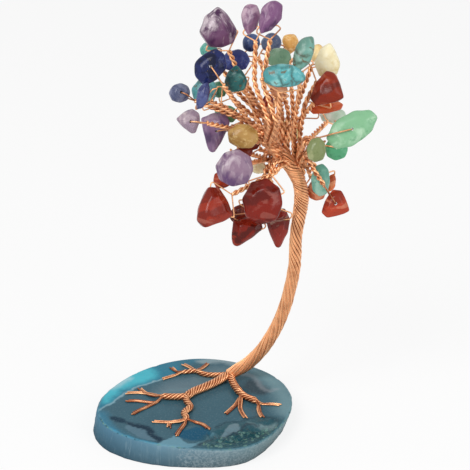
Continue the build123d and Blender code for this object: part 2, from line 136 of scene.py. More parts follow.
# Each arm: its own points from the stem's end, and the points of each tip that leaves its end
ROOT_ARMS = {
    "root_left": (
        (((-0.193, 0.077), (-0.307, 0.087)), (
            ((-0.517, 0.21), (-0.707, 0.21)),
            ((-0.49, 0.20), (-0.573, 0.333)),
            ((-0.383, 0.01), (-0.54, 0.03), (-0.697, 0.033)),
            ((-0.383, 0.01), (-0.50, -0.12), (-0.623, -0.263)),
        )),
        (((-0.07, -0.033), (-0.037, -0.153), (-0.093, -0.273), (-0.07, -0.39)), (
            ((-0.25, -0.42), (-0.407, -0.40)),
            ((-0.20, -0.41), (-0.233, -0.557)),
            ((-0.117, -0.557), (-0.16, -0.71)),
            ((0.04, -0.43), (0.17, -0.58)),
        )),
    ),
    "root_rear": (
        ((), (
            ((-0.047, 0.787), (-0.137, 0.883)),
            ((0.067, 0.787), (0.13, 0.907)),
        )),
        (((-0.06, 0.675), (-0.13, 0.657)), (
            ((-0.24, 0.60), (-0.343, 0.53)),
            ((-0.193, 0.703), (-0.26, 0.81)),
        )),
    ),
    "root_right": (
        (((0.527, 0.077), (0.627, -0.013)), (
            ((0.70, -0.03), (0.78, -0.033), (0.88, -0.057)),
            ((0.657, -0.187), (0.693, -0.327)),
        )),
        ((), (
            ((0.467, -0.12), (0.523, -0.337)),
            ((0.417, -0.057), (0.317, -0.25)),
        )),
    ),
}

# Canopy
CANOPY = np.array((30.0, 20.0, 50.0))
LOOP_CLEARANCE = 0.4
LOOP_NECK = 1.3
# A loop's corner, and the least straight run below it
LOOP_BEND = 0.8
LOOP_SIDE = 0.3
# Steps along the wires, and the reach over which their bends are eased
LOOP_STEP = 0.12
LOOP_EASE = 0.9
STEM_STEP = 0.22
STEM_EASE = 4.0
ROCK_ANGLE = 12.0
BOUGH_TIPS = {
    "left": (-0.33, -0.10, 0.20),
    "rear_left": (-0.21, 0.35, 0.20),
    "top": (-0.12, -0.65, 0.32),
    "rear_top": (0.04, 0.55, 0.17),
    "right_up": (0.12, -0.05, 0.23),
    "right": (0.22, -0.45, 0.17),
    "low_right": (0.15, 0.10, 0.04),
    "low_left": (-0.15, 0.25, -0.02),
    "low": (-0.12, -0.35, -0.01),
}
# Boughs that leave the end of the trunk's own bend to the left, and those that hang below it
LIMB_BOUGHS = ("left", "rear_left", "top")
HANGING_BOUGHS = ("low_left", "low")
# Where the other boughs rise behind the bend, as shares of the canopy from the crown
RISERS = {
    "rear_top": (-0.02, 0.25, 0.03),
    "right_up": (0.13, 0.15, -0.02),
    "right": (0.16, 0.14, -0.03),
    "low_right": (0.15, 0.20, -0.03),
}
# Room that the stems of a bough take off its middle: for each root of their count, and on the trunk's bend
STEM_ROOM = 0.46
LIMB_ROOM = 1.05
LIMB_SHIFT = np.array((0.6, -0.5, 0.6))
# How far the stems of a bough turn about it and widen from its first bend to its last, and where they start
FAN_TURN = 1.3
FAN_WIDENING = (1.0, 1.6)
FAN_START = np.array((0.3, 0.9, 0.2))
# Stems that lean beside their straight way, at its middle
STEM_LEANS = {
    "amethyst_crest_middle": (-2.4, 0, 0),
    "amethyst_crest_right": (-3.2, 0, 0),
    "aventurine_crest": (-1.5, 0.3, -0.3),
    "citrine_right": (-1.3, -0.6, 0),
}

# Chips: the bough that carries each one, and its main, deep and pale colours in eight-bit steps
CHIPS = {
    "amethyst_crest_left": ("rear_left", (108, 68, 102), (70, 36, 72), (206, 192, 198)),
    "amethyst_crest_middle": ("top", (148, 108, 134), (108, 70, 104), (188, 162, 176)),
    "amethyst_crest_right": ("top", (118, 78, 116), (78, 46, 84), (166, 138, 158)),
    "amethyst_left_tip": ("left", (144, 124, 140), (90, 76, 104), (188, 172, 176)),
    "amethyst_left": ("left", (134, 104, 138), (92, 68, 106), (170, 148, 164)),
    "amethyst_round": ("low_left", (140, 114, 134), (94, 66, 104), (182, 166, 174)),
    "lapis_left": ("left", (30, 38, 86), (12, 18, 46), (66, 82, 126)),
    "lapis_middle": ("rear_left", (84, 98, 166), (50, 60, 122), (120, 134, 184)),
    "lapis_left_tip": ("left", (116, 120, 146), (72, 78, 108), (168, 166, 174)),
    "lapis_slim": ("left", (76, 84, 130), (46, 50, 96), (138, 130, 150)),
    "turquoise_left": ("left", (104, 172, 174), (56, 118, 126), (156, 202, 196)),
    "turquoise_teal": ("rear_left", (44, 108, 108), (22, 62, 66), (90, 146, 140)),
    "turquoise_front": ("top", (88, 164, 168), (58, 112, 112), (136, 194, 192)),
    "turquoise_tall": ("right_up", (112, 162, 150), (78, 100, 86), (152, 190, 176)),
    "sodalite_middle": ("rear_top", (70, 88, 130), (44, 54, 96), (122, 132, 156)),
    "sodalite_right": ("rear_top", (98, 110, 136), (64, 76, 108), (154, 158, 168)),
    "citrine_amber": ("rear_top", (216, 164, 92), (180, 112, 46), (238, 208, 154)),
    "citrine_rear": ("rear_top", (236, 212, 156), (212, 172, 106), (244, 232, 196)),
    "citrine_right": ("right_up", (236, 226, 190), (216, 198, 146), (244, 240, 220)),
    "citrine_left": ("left", (172, 134, 76), (132, 94, 42), (204, 176, 120)),
    "citrine_small": ("low_left", (252, 240, 200), (236, 214, 160), (255, 250, 228)),
    "citrine_far": ("rear_top", (232, 204, 132), (204, 156, 78), (244, 230, 186)),
    "aventurine_crest": ("rear_left", (88, 158, 146), (46, 106, 98), (140, 192, 178)),
    "aventurine_inner": ("rear_left", (48, 98, 76), (22, 58, 46), (96, 142, 112)),
    "aventurine_left": ("left", (108, 172, 128), (64, 124, 88), (158, 204, 166)),
    "aventurine_top": ("rear_top", (112, 148, 120), (74, 110, 92), (160, 182, 158)),
    "aventurine_rear": ("right", (190, 212, 192), (148, 178, 152), (224, 234, 222)),
    "aventurine_wing": ("right", (128, 178, 138), (90, 148, 110), (174, 206, 176)),
    "aventurine_lobe": ("right", (90, 168, 124), (54, 126, 90), (142, 200, 160)),
    "aventurine_olive": ("right", (122, 132, 88), (88, 104, 62), (160, 164, 122)),
    "aventurine_low": ("low_right", (104, 162, 144), (64, 122, 108), (156, 194, 176)),
    "jasper_inner": ("top", (126, 34, 18), (82, 20, 12), (162, 64, 40)),
    "jasper_peach": ("top", (204, 144, 110), (168, 98, 70), (226, 184, 154)),
    "jasper_right_up": ("right_up", (128, 36, 12), (94, 24, 9), (158, 72, 42)),
    "jasper_right_flat": ("right_up", (206, 86, 44), (166, 58, 28), (220, 122, 80)),
    "jasper_behind_citrine": ("low_left", (140, 44, 24), (96, 26, 15), (168, 78, 52)),
    "jasper_behind_round": ("low_left", (144, 46, 24), (100, 26, 15), (172, 82, 56)),
    "jasper_left_back": ("left", (150, 52, 30), (106, 30, 18), (176, 92, 68)),
    "jasper_left": ("low", (146, 44, 25), (110, 28, 17), (160, 88, 74)),
    "jasper_small": ("low", (118, 36, 22), (80, 23, 16), (146, 70, 54)),
    "jasper_centre": ("low", (122, 28, 15), (88, 19, 12), (142, 74, 64)),
    "jasper_bottom": ("low", (122, 28, 14), (66, 15, 9), (158, 52, 28)),
    "jasper_point": ("low", (144, 46, 36), (100, 30, 25), (160, 130, 116)),
    "jasper_low_back": ("low_right", (188, 100, 66), (142, 62, 38), (212, 142, 106)),
    "jasper_slim": ("low_right", (214, 112, 64), (170, 72, 38), (232, 156, 112)),
    "jasper_low_right": ("low_right", (166, 58, 34), (122, 37, 21), (194, 116, 88)),
}

# Directions of the waves that wear hollows into the chips, and the side of a chip towards the key light that
# its tint marks, where amethysts get a painted highlight
WEAR_WAVES = np.array(((0.55, 0.83, 0.31), (-0.72, 0.4, 0.66), (1.17, -0.65, 1.43)))
LIT_SIDE = np.array((-0.6, -0.35, 0.72))

# Stage, in metres: each light's place, size and share of the key light's power
FLOOR_REACH = 4.0
LIGHTS = {"key": ((-0.35, -0.6, 0.75), 0.5, 1.0), "fill": ((0.6, -0.5, 0.4), 0.6, 0.35)}
LIGHT_TARGET = np.array((0.015, 0, 0.08))
VIEW_TARGET = np.array((12.46, 0, 61.89)) * MM
SENSOR_WIDTH = 36
LENS = 136.3

UP = np.array((0, 0, 1.0))
REAR = np.array((0, 1.0, 0))
WHITE = (1, 1, 1, 1)


def linear(colour):
    """An eight-bit display colour as linear light with full alpha."""
    share = np.asarray(colour, float) / 255
    light = np.where(share <= 0.04045, share / 12.92, ((share + 0.055) / 1.055) ** 2.4)
    return (*light.tolist(), 1.0)


def unit(vectors):
    """Each vector at length one."""
    return vectors / np.maximum(np.linalg.norm(vectors, axis=-1, keepdims=True), 1e-12)


def smooth_step(low, high, x):
    """0 below low, 1 above high, and 3t^2 - 2t^3 between them."""
    t = np.clip((x - low) / (high - low), 0, 1)
    return t * t * (3 - 2 * t)


def spread(number):
    """Shares from 0 to 1, far apart for numbers in a row: the fraction of the number times 0.618."""
    return number * 0.618 % 1


class Wire(bpy.types.PropertyGroup):
    diameter: FloatProperty(name="Diameter", description="Thickness of the wire in the loops",
                            default=0.42 * MM, unit="LENGTH", precision=5)
    pair_diameter: FloatProperty(name="Stem wire", description="Thickness of the wire in the twisted stems",
                                 default=0.78 * MM, unit="LENGTH", precision=5)
    root_diameter: FloatProperty(name="Root wire", description="Thickness of the wire in the roots",
                                 default=0.46 * MM, unit="LENGTH", precision=5)
    pair_pitch: FloatProperty(name="Pair pitch", description="Length of one turn of a stem's twisted pair",
                              default=3.6 * MM, unit="LENGTH", precision=5)
    trunk_strands: IntProperty(name="Trunk strands", description="Wires seen round the trunk", default=30)
    trunk_pitch: FloatProperty(name="Trunk pitch", description="Length of one turn of the trunk's strands",
                               default=31 * MM, unit="LENGTH", precision=5)
    bright: FloatVectorProperty(name="Bright copper", description="Colour of the clean wire",
                                subtype="COLOR", size=4, default=linear((250, 188, 138)))
    # Tarnish, and painted shade on the deeper, alternate and second strands, which get higher tints
    tarnish_and_shade: FloatVectorProperty(name="Dull copper", description="Colour of the tarnish between strands",
                              subtype="COLOR", size=4, default=linear((140, 74, 44)))
    # Painted shade: the colour of the dark core tube laid under the strands, where they shade each other
    gap: FloatVectorProperty(name="Gaps", description="Colour of the dark gaps between strands",
                             subtype="COLOR", size=4, default=linear((52, 20, 10)))


class Slice(bpy.types.PropertyGroup):
    slate: FloatVectorProperty(name="Slate", description="Colour of the slice's middle", subtype="COLOR",
                               size=4, default=linear((62, 98, 112)))
    crystal: FloatProperty(name="Crystal", description="Height of the pocket's crystals", default=1.1 * MM,
                           unit="LENGTH", precision=5)


class Gems(bpy.types.PropertyGroup):
    crispness: FloatProperty(name="Crispness", description="How crisp the tumbled edges are",
                             default=1.0)
    growth: FloatProperty(name="Growth", description="Size of a rounded chip beside its solid", default=1.05)
    dent: FloatProperty(name="Dent", description="Depth of the worn hollows", default=1.0)
    hole: FloatProperty(name="Hole", description="Radius of the drill hole", default=0.42 * MM,
                        unit="LENGTH", precision=5)


class Studio(bpy.types.PropertyGroup):
    distance: FloatProperty(name="Distance", description="Camera to the middle of the view",
                            default=520 * MM, unit="LENGTH")
    elevation: FloatProperty(name="Elevation", description="Camera height as an angle",
                             default=math.radians(22), subtype="ANGLE")
    key: FloatProperty(name="Key light", description="Power of the large front light", default=5.4,
                       unit="POWER")
    ambient: FloatProperty(name="Ambient", description="Strength of the light from all round", default=0.54)


# Meshes


class Batch:
    """Collects surfaces for one mesh: points in millimetres, polygons and a tint for each point."""

    def __init__(self):
        self.points = []
        self.tints = []
        self.loops = []
        self.sizes = []
        self.count = 0

    def polygons(self, indices):
        self.loops.append(np.asarray(indices).ravel())
        self.sizes.append(np.full(len(indices), np.shape(indices)[1]))

    def grid(self, points, tint=0.5, wrap_rows=False, cap_ends=False):
        """A grid of closed columns, whose rows may close as well or have a polygon over each end."""
        rows, cols = points.shape[:2]
        i = np.arange(rows if wrap_rows else rows - 1)[:, None]
        j = np.arange(cols)[None, :]
        next_i = (i + 1) % rows
        next_j = (j + 1) % cols
        corners = (i * cols + j, i * cols + next_j, next_i * cols + next_j, next_i * cols + j)
        self.polygons(np.stack(np.broadcast_arrays(*corners), axis=-1).reshape(-1, 4) + self.count)
        if cap_ends:
            around = np.arange(cols)[None, :]
            self.polygons(self.count + around[:, ::-1])
            self.polygons(self.count + (rows - 1) * cols + around)
        self.points.append(points.reshape(-1, 3))
        self.tints.append(np.broadcast_to(tint, (rows, cols)).ravel())
        self.count += rows * cols

    def tube(self, path, side, radius, sides=6, tint=0.5, closed=False):
        """A round wire: circles of the radius square to the path, turned so that they start at the side."""
        if closed:
            along = unit(np.roll(path, -1, 0) - np.roll(path, 1, 0))
        else:
            along = unit(np.gradient(path, axis=0))
        across = unit(side - along * np.sum(side * along, -1, keepdims=True))
        third = np.cross(along, across)
        turn = 2 * np.pi * np.arange(sides) / sides
        ring = np.cos(turn)[None, :, None] * across[:, None] + np.sin(turn)[None, :, None] * third[:, None]
        radius = np.broadcast_to(radius, len(path))[:, None, None]
        self.grid(path[:, None] + radius * ring, tint, wrap_rows=closed, cap_ends=not closed)

    def piece(self, name, material, body, slot, node, stain_and_light=None):
        """Writes the mesh in metres, and makes it ride on a body in the place of a CAD node."""
        points = np.concatenate(self.points)
        loops = np.concatenate(self.loops)
        sizes = np.concatenate(self.sizes)
        mesh = bpy.data.meshes.new(name)
        mesh.vertices.add(len(points))
        mesh.vertices.foreach_set("co", (points * MM).astype(np.float32).ravel())
        mesh.loops.add(len(loops))
        mesh.loops.foreach_set("vertex_index", loops.astype(np.int32))
        mesh.polygons.add(len(sizes))
        mesh.polygons.foreach_set("loop_start", (np.cumsum(sizes) - sizes).astype(np.int32))
        mesh.update(calc_edges=True)
        mesh.polygons.foreach_set("use_smooth", np.ones(len(sizes), bool))
        tint = mesh.attributes.new("tint", "FLOAT", "POINT")
        tint.data.foreach_set("value", np.concatenate(self.tints).astype(np.float32))
        if stain_and_light is not None:
            layer = mesh.attributes.new("stain_and_light", "FLOAT_COLOR", "POINT")
            colours = np.column_stack((stain_and_light, np.ones(len(points))))
            layer.data.foreach_set("color", colours.astype(np.float32).ravel())
        mesh.materials.append(material)
        piece = bpy.data.objects.new(name, mesh)
        bpy.context.scene.collection.objects.link(piece)
        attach(piece, body)
        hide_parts(node)


# Lines


def run_of(line):
    """Length along a line at each of its points."""
    return np.concatenate(([0], np.cumsum(np.linalg.norm(np.diff(line, axis=0), axis=1))))


def line_through(points, count):
    """A natural cubic through the points by chord length, sampled at even steps of that length."""
    p = np.asarray(points, float)
    t = run_of(p)
    h = np.diff(t)
    n = len(p)
    inner = np.arange(1, n - 1)
    rows = np.eye(n)
    rows[inner, inner - 1] = h[:-1]
    rows[inner, inner] = 2 * (h[:-1] + h[1:])
    rows[inner, inner + 1] = h[1:]
    right = np.zeros_like(p)
    right[1:-1] = 6 * np.diff(np.diff(p, axis=0) / h[:, None], axis=0)
    bend = np.linalg.solve(rows, right)
    s = np.linspace(0, t[-1], count)
    k = np.clip(np.searchsorted(t, s, side="right") - 1, 0, n - 2)
    a = (t[k + 1] - s)[:, None]
    b = (s - t[k])[:, None]
    hk = h[k][:, None]
    return ((bend[k] * a ** 3 + bend[k + 1] * b ** 3) / (6 * hk)
            + (p[k] / hk - bend[k] * hk / 6) * a + (p[k + 1] / hk - bend[k + 1] * hk / 6) * b)


def bent_line(corners, step, reach):
    """Straight runs sampled at a step, with each bend eased by a running mean over a reach."""
    p = np.asarray(corners, float)
    t = run_of(p)
    s = np.linspace(0, t[-1], max(int(t[-1] / step), 8))
    line = np.stack([np.interp(s, t, p[:, axis]) for axis in range(3)], axis=-1)
    half = max(int(reach / step / 2), 1)
    padded = np.concatenate((2 * line[:1] - line[half:0:-1], line, 2 * line[-1:] - line[-2:-half - 2:-1]))
    total = np.concatenate((np.zeros((1, 3)), np.cumsum(padded, axis=0)))
    window = 2 * half + 1
    return (total[window:] - total[:-window]) / window


def sides_of(line, side):
    """Two directions square to a line at each of its points, the first turned to one side."""
    along = unit(np.gradient(line, axis=0))
    first = unit(side - along * (along @ side)[:, None])
    return first, np.cross(along, first)


def winding(line, side, radius, turn):
    """A line that goes round another: the radius times the cosine and sine of the turn in its two sides."""
    first, second = sides_of(line, side)
    out = np.cos(turn)[:, None] * first + np.sin(turn)[:, None] * second
    return line + np.broadcast_to(radius, len(line))[:, None] * out, out


# Shader sums


class Sock:
    """A socket that takes part in Python sums: each operator adds the Math node that works it out."""

    def __init__(self, sheet, socket):
        self.sheet = sheet
        self.socket = socket

    def math(self, operation, *values):
        return self.sheet.node("ShaderNodeMath", {"operation": operation}, dict(enumerate(values)))

    def __add__(self, other):
        return self.math("ADD", self, other)

    def __sub__(self, other):
        return self.math("SUBTRACT", self, other)

    def __rsub__(self, other):
        return self.math("SUBTRACT", other, self)

    def __mul__(self, other):
        return self.math("MULTIPLY", self, other)

    __radd__ = __add__
    __rmul__ = __mul__

    def sine(self):
        return self.math("SINE", self)

    def step(self, low, high):
        """0 below low, 1 above high, and a smooth rise between them."""
        return self.sheet.node("ShaderNodeMapRange", {"interpolation_type": "SMOOTHSTEP"},
                               {"Value": self, "From Min": low, "From Max": high})


class Sheet:
    """The nodes of a material or of the world."""

    def __init__(self, owner):
        self.owner = owner
        owner.use_nodes = True
        self.tree = owner.node_tree
        self.tree.nodes.clear()

    def node(self, kind, settings=None, sockets=None, out=0):
        """Adds a node: its settings first, then the values or links of its sockets; gives one output."""
        node = self.tree.nodes.new(kind)
        for key, value in (settings or {}).items():
            setattr(node, key, value)
        for key, value in (sockets or {}).items():
            if isinstance(value, Sock):
                self.tree.links.new(value.socket, node.inputs[key])
            else:
                node.inputs[key].default_value = value
        return Sock(self, node.outputs[out]) if node.outputs else None

    def place(self):
        return self.node("ShaderNodeTexCoord", out="Object")

    def attribute(self, name, out="Fac"):
        return self.node("ShaderNodeAttribute", {"attribute_name": name}, out=out)

    def noise(self, place, scale, detail=3.0, rough=0.55, twist=0.0):
        return self.node("ShaderNodeTexNoise", None, {"Vector": place, "Scale": scale, "Detail": detail,
                                                      "Roughness": rough, "Distortion": twist})

    def turned(self, place, rotation, scale=(1, 1, 1)):
        return self.node("ShaderNodeMapping", None, {"Vector": place, "Rotation": rotation, "Scale": scale})

    def mix(self, factor, first, second, blend="MIX"):
        return self.node("ShaderNodeMix", {"data_type": "RGBA", "blend_type": blend, "clamp_factor": True},
                         {0: factor, 6: first, 7: second}, out=2)

    def clouded(self, colour, other, place, noise, low, high, strength=1.0):
        """A colour with clouds of another, where a noise rises from low to high."""
        return self.mix(self.noise(place, *noise).step(low, high) * strength, colour, other)

    def bump(self, height, strength, distance):
        return self.node("ShaderNodeBump", None,
                         {"Height": height, "Strength": strength, "Distance": distance})

    def finish(self, **sockets):
        """A Principled surface with these sockets, its spaces written as underscores."""
        named = {key.replace("_", " "): value for key, value in sockets.items()}
        return self.surface(self.node("ShaderNodeBsdfPrincipled", None, named))

    def surface(self, shader):
        """Sends a shader to the output and gives the material or world."""
        kind = "World" if isinstance(self.owner, bpy.types.World) else "Material"
        self.node("ShaderNodeOutput" + kind, None, {"Surface": shader})
        return self.owner

    def seen(self):
        """1 on rays from the camera, off gloss or through clear things, else 0."""
        camera, gloss, clear = [self.node("ShaderNodeLightPath", out=name) for name in
                                ("Is Camera Ray", "Is Glossy Ray", "Is Transmission Ray")]
        return (camera + gloss + clear).step(0.0, 0.6)


def copper_material(wire):
    """Bare copper wire: strands that differ a little, fine tarnish, and painted shade on some strands and in
    the dark gaps between strands.
    """
    sheet = Sheet(bpy.data.materials.new("drawn_copper"))
    place = sheet.place()
    cloud = sheet.noise(place, 260, 4)
    grain = sheet.noise(place, 2600, 2)
    strand = sheet.attribute("tint")
    # The noise and random tints give tarnish; the higher tints of deeper, alternate and second strands paint
    # shade
    tarnish_and_shade = (cloud * 0.9 + strand * 0.5 - 0.5).step(0.0, 0.6)
    colour = sheet.mix(tarnish_and_shade, tuple(wire.bright), tuple(wire.tarnish_and_shade))
    # The core's tint paints the dark gaps between strands as shade
    colour = sheet.mix(strand.step(1.6, 1.9), colour, tuple(wire.gap))
    return sheet.finish(Base_Color=colour, Metallic=0.8, Roughness=0.24 + cloud * 0.16 + grain * 0.06,
                        Normal=sheet.bump(grain, 0.15, 0.00004))


def amethyst(sheet, place, main, deep, pale):
    """Purple quartz: deep clouds and milky veils, with frost and a painted highlight on the lit side that the
    tint marks.
    """
    cloud = sheet.noise(place, 170, 3, 0.5, 0.6)
    veil = sheet.noise(sheet.turned(place, (0.4, 0.7, 0.2), (1, 1, 0.35)), 420, 3, 0.6, 1.2)
    colour = sheet.mix(cloud.step(0.46, 0.66), main, deep)
    # Paler on the side towards the key light: partly the stone's milky frost, partly a painted highlight
    frost_and_highlight = sheet.attribute("tint").step(0.35, 1.0) * veil.step(0.36, 0.6)
    return sheet.mix(veil.step(0.5, 0.72) * 0.5 + frost_and_highlight * 0.75, colour, pale), 0.3


def lapis(sheet, place, main, deep, pale):
    """Deep blue stone with pale calcite clouds and specks of pyrite."""
    colour = sheet.clouded(main, deep, place, (240, 4, 0.6, 0.4), 0.42, 0.6)
    colour = sheet.clouded(colour, pale, place, (520, 3, 0.6, 1.5), 0.58, 0.74, 0.7)
    return sheet.clouded(colour, linear((196, 164, 96)), place, (3200, 1), 0.74, 0.78, 0.7), 0.0


def turquoise(sheet, place, main, deep, pale):
    """Blue-green stone with pale patches, a dark web of matrix and a darker side that the tint marks."""
    swirl = sheet.node("ShaderNodeTexNoise", None, {"Vector": place, "Scale": 420.0}, out="Color")
    bend = sheet.node("ShaderNodeVectorMath", {"operation": "MULTIPLY_ADD"},
                      {0: swirl, 1: (0.0022, 0.0022, 0.0022), 2: place})
    web = sheet.node("ShaderNodeTexVoronoi", {"feature": "DISTANCE_TO_EDGE"},
                     {"Vector": bend, "Scale": 230.0})
    patch = sheet.noise(place, 300, 4, 0.6, 0.5)
    colour = sheet.mix(patch.step(0.45, 0.65), main, pale)
    colour = sheet.mix((1 - web.step(0.02, 0.2)) * patch.step(0.4, 0.56) * 0.85, colour, deep)
    colour = sheet.mix(sheet.attribute("tint").step(0.3, 0.9) * 0.45, colour, deep)
    colour = sheet.clouded(colour, linear((104, 84, 58)), place, (620, 2, 0.5, 0.8), 0.6, 0.68, 0.8)
    vein = (1 - web.step(0.0, 0.06)) * sheet.noise(place, 190, 2).step(0.5, 0.6)
    return sheet.mix(vein * 0.6, colour, linear((78, 70, 54))), 0.0


def citrine(sheet, place, main, deep, pale):
    """Clear yellow quartz with milky clouds and honey-coloured depth."""
    colour = sheet.clouded(main, deep, place, (220, 3, 0.5, 0.5), 0.46, 0.68)
    return sheet.clouded(colour, pale, place, (560, 3, 0.6, 1.0), 0.5, 0.7, 0.7), 0.35


def aventurine(sheet, place, main, deep, pale):
    """Green quartz with milky clouds and deeper mottles."""
    colour = sheet.clouded(main, pale, place, (200, 4, 0.55, 0.5), 0.44, 0.66)
    return sheet.clouded(colour, deep, place, (620, 3, 0.6), 0.55, 0.75, 0.65), 0.25


def jasper(sheet, place, main, deep, pale):
    """Brick-red stone in flowing bands, with a few dusty pale ones."""
    lie = (0.5, 0.35, 0.3)
    bend = sheet.noise(place, 150, 3, 0.55, 0.8)
    flow = sheet.node("ShaderNodeSeparateXYZ", None, {0: sheet.turned(place, lie)}, out="Z")
    band = (flow * 900 + bend * 9.0).sine()
    colour = sheet.mix(band.step(0.0, 0.8) * 0.8, main, deep)
    along = sheet.turned(place, lie, (0.6, 0.6, 1.6))
    colour = sheet.clouded(colour, pale, along, (230, 3, 0.5, 0.9), 0.57, 0.64, 0.7)
    return sheet.clouded(colour, deep, place, (900, 4, 0.6), 0.55, 0.75, 0.35), 0.04


# Each stone's recipe, how sharply its faces meet, and the depth of its hollows as a share of the chip
STONES = {
    "amethyst": (amethyst, 20, 0.055),
    "lapis": (lapis, 17, 0.065),
    "turquoise": (turquoise, 11, 0.10),
    "sodalite": (lapis, 10, 0.06),
    "citrine": (citrine, 18, 0.05),
    "aventurine": (aventurine, 19, 0.06),
    "jasper": (jasper, 23, 0.05),
}


def gem_material(name, main, deep, pale):
    """A tumbled, polished chip: its stone's recipe under a clear polish with faint scuffs."""
    sheet = Sheet(bpy.data.materials.new(name + "_stone"))
    place = sheet.place()
    recipe = STONES[stone_of(name)][0]
    colour, glow = recipe(sheet, place, linear(main), linear(deep), linear(pale))
    scuff = sheet.noise(place, 1100, 4, 0.65)
    return sheet.finish(Base_Color=colour, Roughness=0.16 + scuff.step(0.4, 0.8) * 0.2,
                        Specular_IOR_Level=0.2, Subsurface_Weight=glow,
                        Subsurface_Radius=(0.004, 0.004, 0.004), Subsurface_Scale=0.5,
                        Coat_Weight=0.06, Coat_Roughness=0.06,
                        Normal=sheet.bump(scuff, 0.12, 0.0002))


# Pieces


def stone_of(chip):
    """The stone of a chip: the first word of its name."""
    return chip.split("_")[0]


def tip_of(bough):
    """The point where a bough divides into stems."""
    return CROWN + np.array(BOUGH_TIPS[bough]) * CANOPY


def hole_frame(chip):
    """A chip's hole: its middle, its axis and the direction away from the bough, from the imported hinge."""
    hinge = HINGES[chip]
    middle = np.array(hinge["pos_m"]) / MM
    axis = unit(np.array(hinge["axis"]))
    out = middle - tip_of(CHIPS[chip][0])
    away = unit(out - axis * (out @ axis))
    return middle, axis, away


def chip_solid(chip):
    """A packed chip's corners, and the planes of its outer faces as normals and reaches from the hole."""
    mesh = frame["nodes"][chip].data
    mesh.calc_loop_triangles()
    corners = np.empty(len(mesh.vertices) * 3)
    mesh.vertices.foreach_get("co", corners)
    corners = corners.reshape(-1, 3) / MM - hole_frame(chip)[0]
    triangles = np.empty(len(mesh.loop_triangles) * 3, np.int32)
    mesh.loop_triangles.foreach_get("vertices", triangles)
    a, b, c = corners[triangles.reshape(-1, 3)].transpose(1, 0, 2)
    normals = np.cross(b - a, c - a)
    size = np.linalg.norm(normals, axis=1)
    real = size > 1e-4
    normals = normals[real] / size[real, None]
    reach = np.sum(normals * a[real], axis=1)
    planes = np.unique(np.round(np.column_stack((normals, reach)), 3)[reach > 0.05], axis=0)
    return corners, planes[:, :3], planes[:, 3]


def chip_grid(chip, gems, rows=52, cols=72):
    """A tumbled chip round its drill hole.

    In each direction the surface lies at the growth over the p-norm of direction . normal / reach, taken
    over the solid's planes, so it is flat on its faces and rounded at its edges, and products of sines wear
    it hollow.  The rows run from one mouth of the hole to the other and back through it.
    """
    middle, axis, away = hole_frame(chip)
    _, normals, reach = chip_solid(chip)
    third = np.cross(axis, away)
    turn = 2 * np.pi * np.arange(cols) / cols
    spoke = np.cos(turn)[:, None] * away + np.sin(turn)[:, None] * third
    hole = gems.hole / MM
    _, edge, hollow = STONES[stone_of(chip)]
    power = edge * gems.crispness

    def surface(tilt):
        toward = np.cos(tilt)[..., None] * axis + np.sin(tilt)[..., None] * spoke
        pull = np.maximum(toward @ normals.T, 0) / reach
        return toward, gems.growth * np.sum(pull ** power, axis=-1) ** (-1 / power)

    # The tilt at the hole's two mouths, found in a few rounds from a first guess
    front = np.full(cols, 0.1)
    back = np.full(cols, np.pi - 0.1)
    for _ in range(5):
        front = np.arcsin(np.clip(hole / surface(front)[1], 0, 0.9))
        back = np.pi - np.arcsin(np.clip(hole / surface(back)[1], 0, 0.9))
    share = np.linspace(0, 1, rows)[:, None]
    toward, radius = surface(front + (back - front) * share)
    spot = toward * radius[..., None] + middle
    first, second, last = np.moveaxis(spot @ WEAR_WAVES.T, -1, 0)
    wave = np.sin(first + middle[0]) * np.sin(second) + 0.6 * np.sin(last + middle[2])
    worn = gems.dent * hollow * (0.5 + 0.31 * wave) * np.sin(np.pi * share) ** 0.5
    outer = middle + toward * (radius * (1 - worn))[..., None]
    inner = np.linspace(outer[-1], outer[0], 6)[1:-1]
    return np.concatenate((outer, inner))


def loop_lines(chip, diameter):
    """A chip's wire loop as a closed line, the direction square to it, and the end of the stem below it.

    The loop runs through the hole and down beside the chip, clear of its corners at rest and at both
    rocking limits, and closes at the stem.
    """
    middle, axis, away = hole_frame(chip)
    corners = chip_solid(chip)[0]
    third = np.cross(axis, away)
    lid = LOOP_CLEARANCE + diameter / 2
    rock = np.radians(np.array((-ROCK_ANGLE, 0, ROCK_ANGLE)))[:, None]
    across = np.tile(corners @ axis, (3, 1)).ravel()
    level = (np.cos(rock) * (corners @ away) - np.sin(rock) * (corners @ third)).ravel()
    low = level <= lid
    share = (lid - level[low, None]) / (level[None, ~low] - level[low, None])
    cut = across[low, None] + (across[None, ~low] - across[low, None]) * share
    across = np.concatenate((across[low], cut.ravel()))
    down = np.minimum(np.concatenate((level[low], np.full(cut.size, lid))), -lid)
    apex = down.min() - LOOP_NECK
    right = across.max() + lid
    left = across.min() - lid
    slope = (down - apex) / np.maximum(np.abs(across), 0.05)
    right_fall = apex + (right - lid) * slope[across > 0.05].min()
    left_fall = apex - (left + lid) * slope[across < -0.05].min()
    bend = min(LOOP_BEND, 0.4 * right, -0.4 * left)
    neck = apex - lid
    side = -bend - LOOP_SIDE
    flat = ((0, neck), (right, min(right_fall, side)), (right, -bend), (right - bend, 0),
            (left + bend, 0), (left, -bend), (left, min(left_fall, side)), (0, neck))
    line = bent_line([middle + axis * x + away * y for x, y in flat], LOOP_STEP, LOOP_EASE)
    return line[:-1], third, middle + away * neck


def closed_line(points, count):
    """A smooth closed outline through flat points: the middle round of a cubic that goes round thrice."""
    flat = np.asarray(points, float)
    rounds = np.concatenate((flat, flat, flat, flat[:1]))
    line = line_through(np.column_stack((rounds, np.zeros(len(rounds)))), 3 * count + 1)
    return line[count:2 * count, :2]


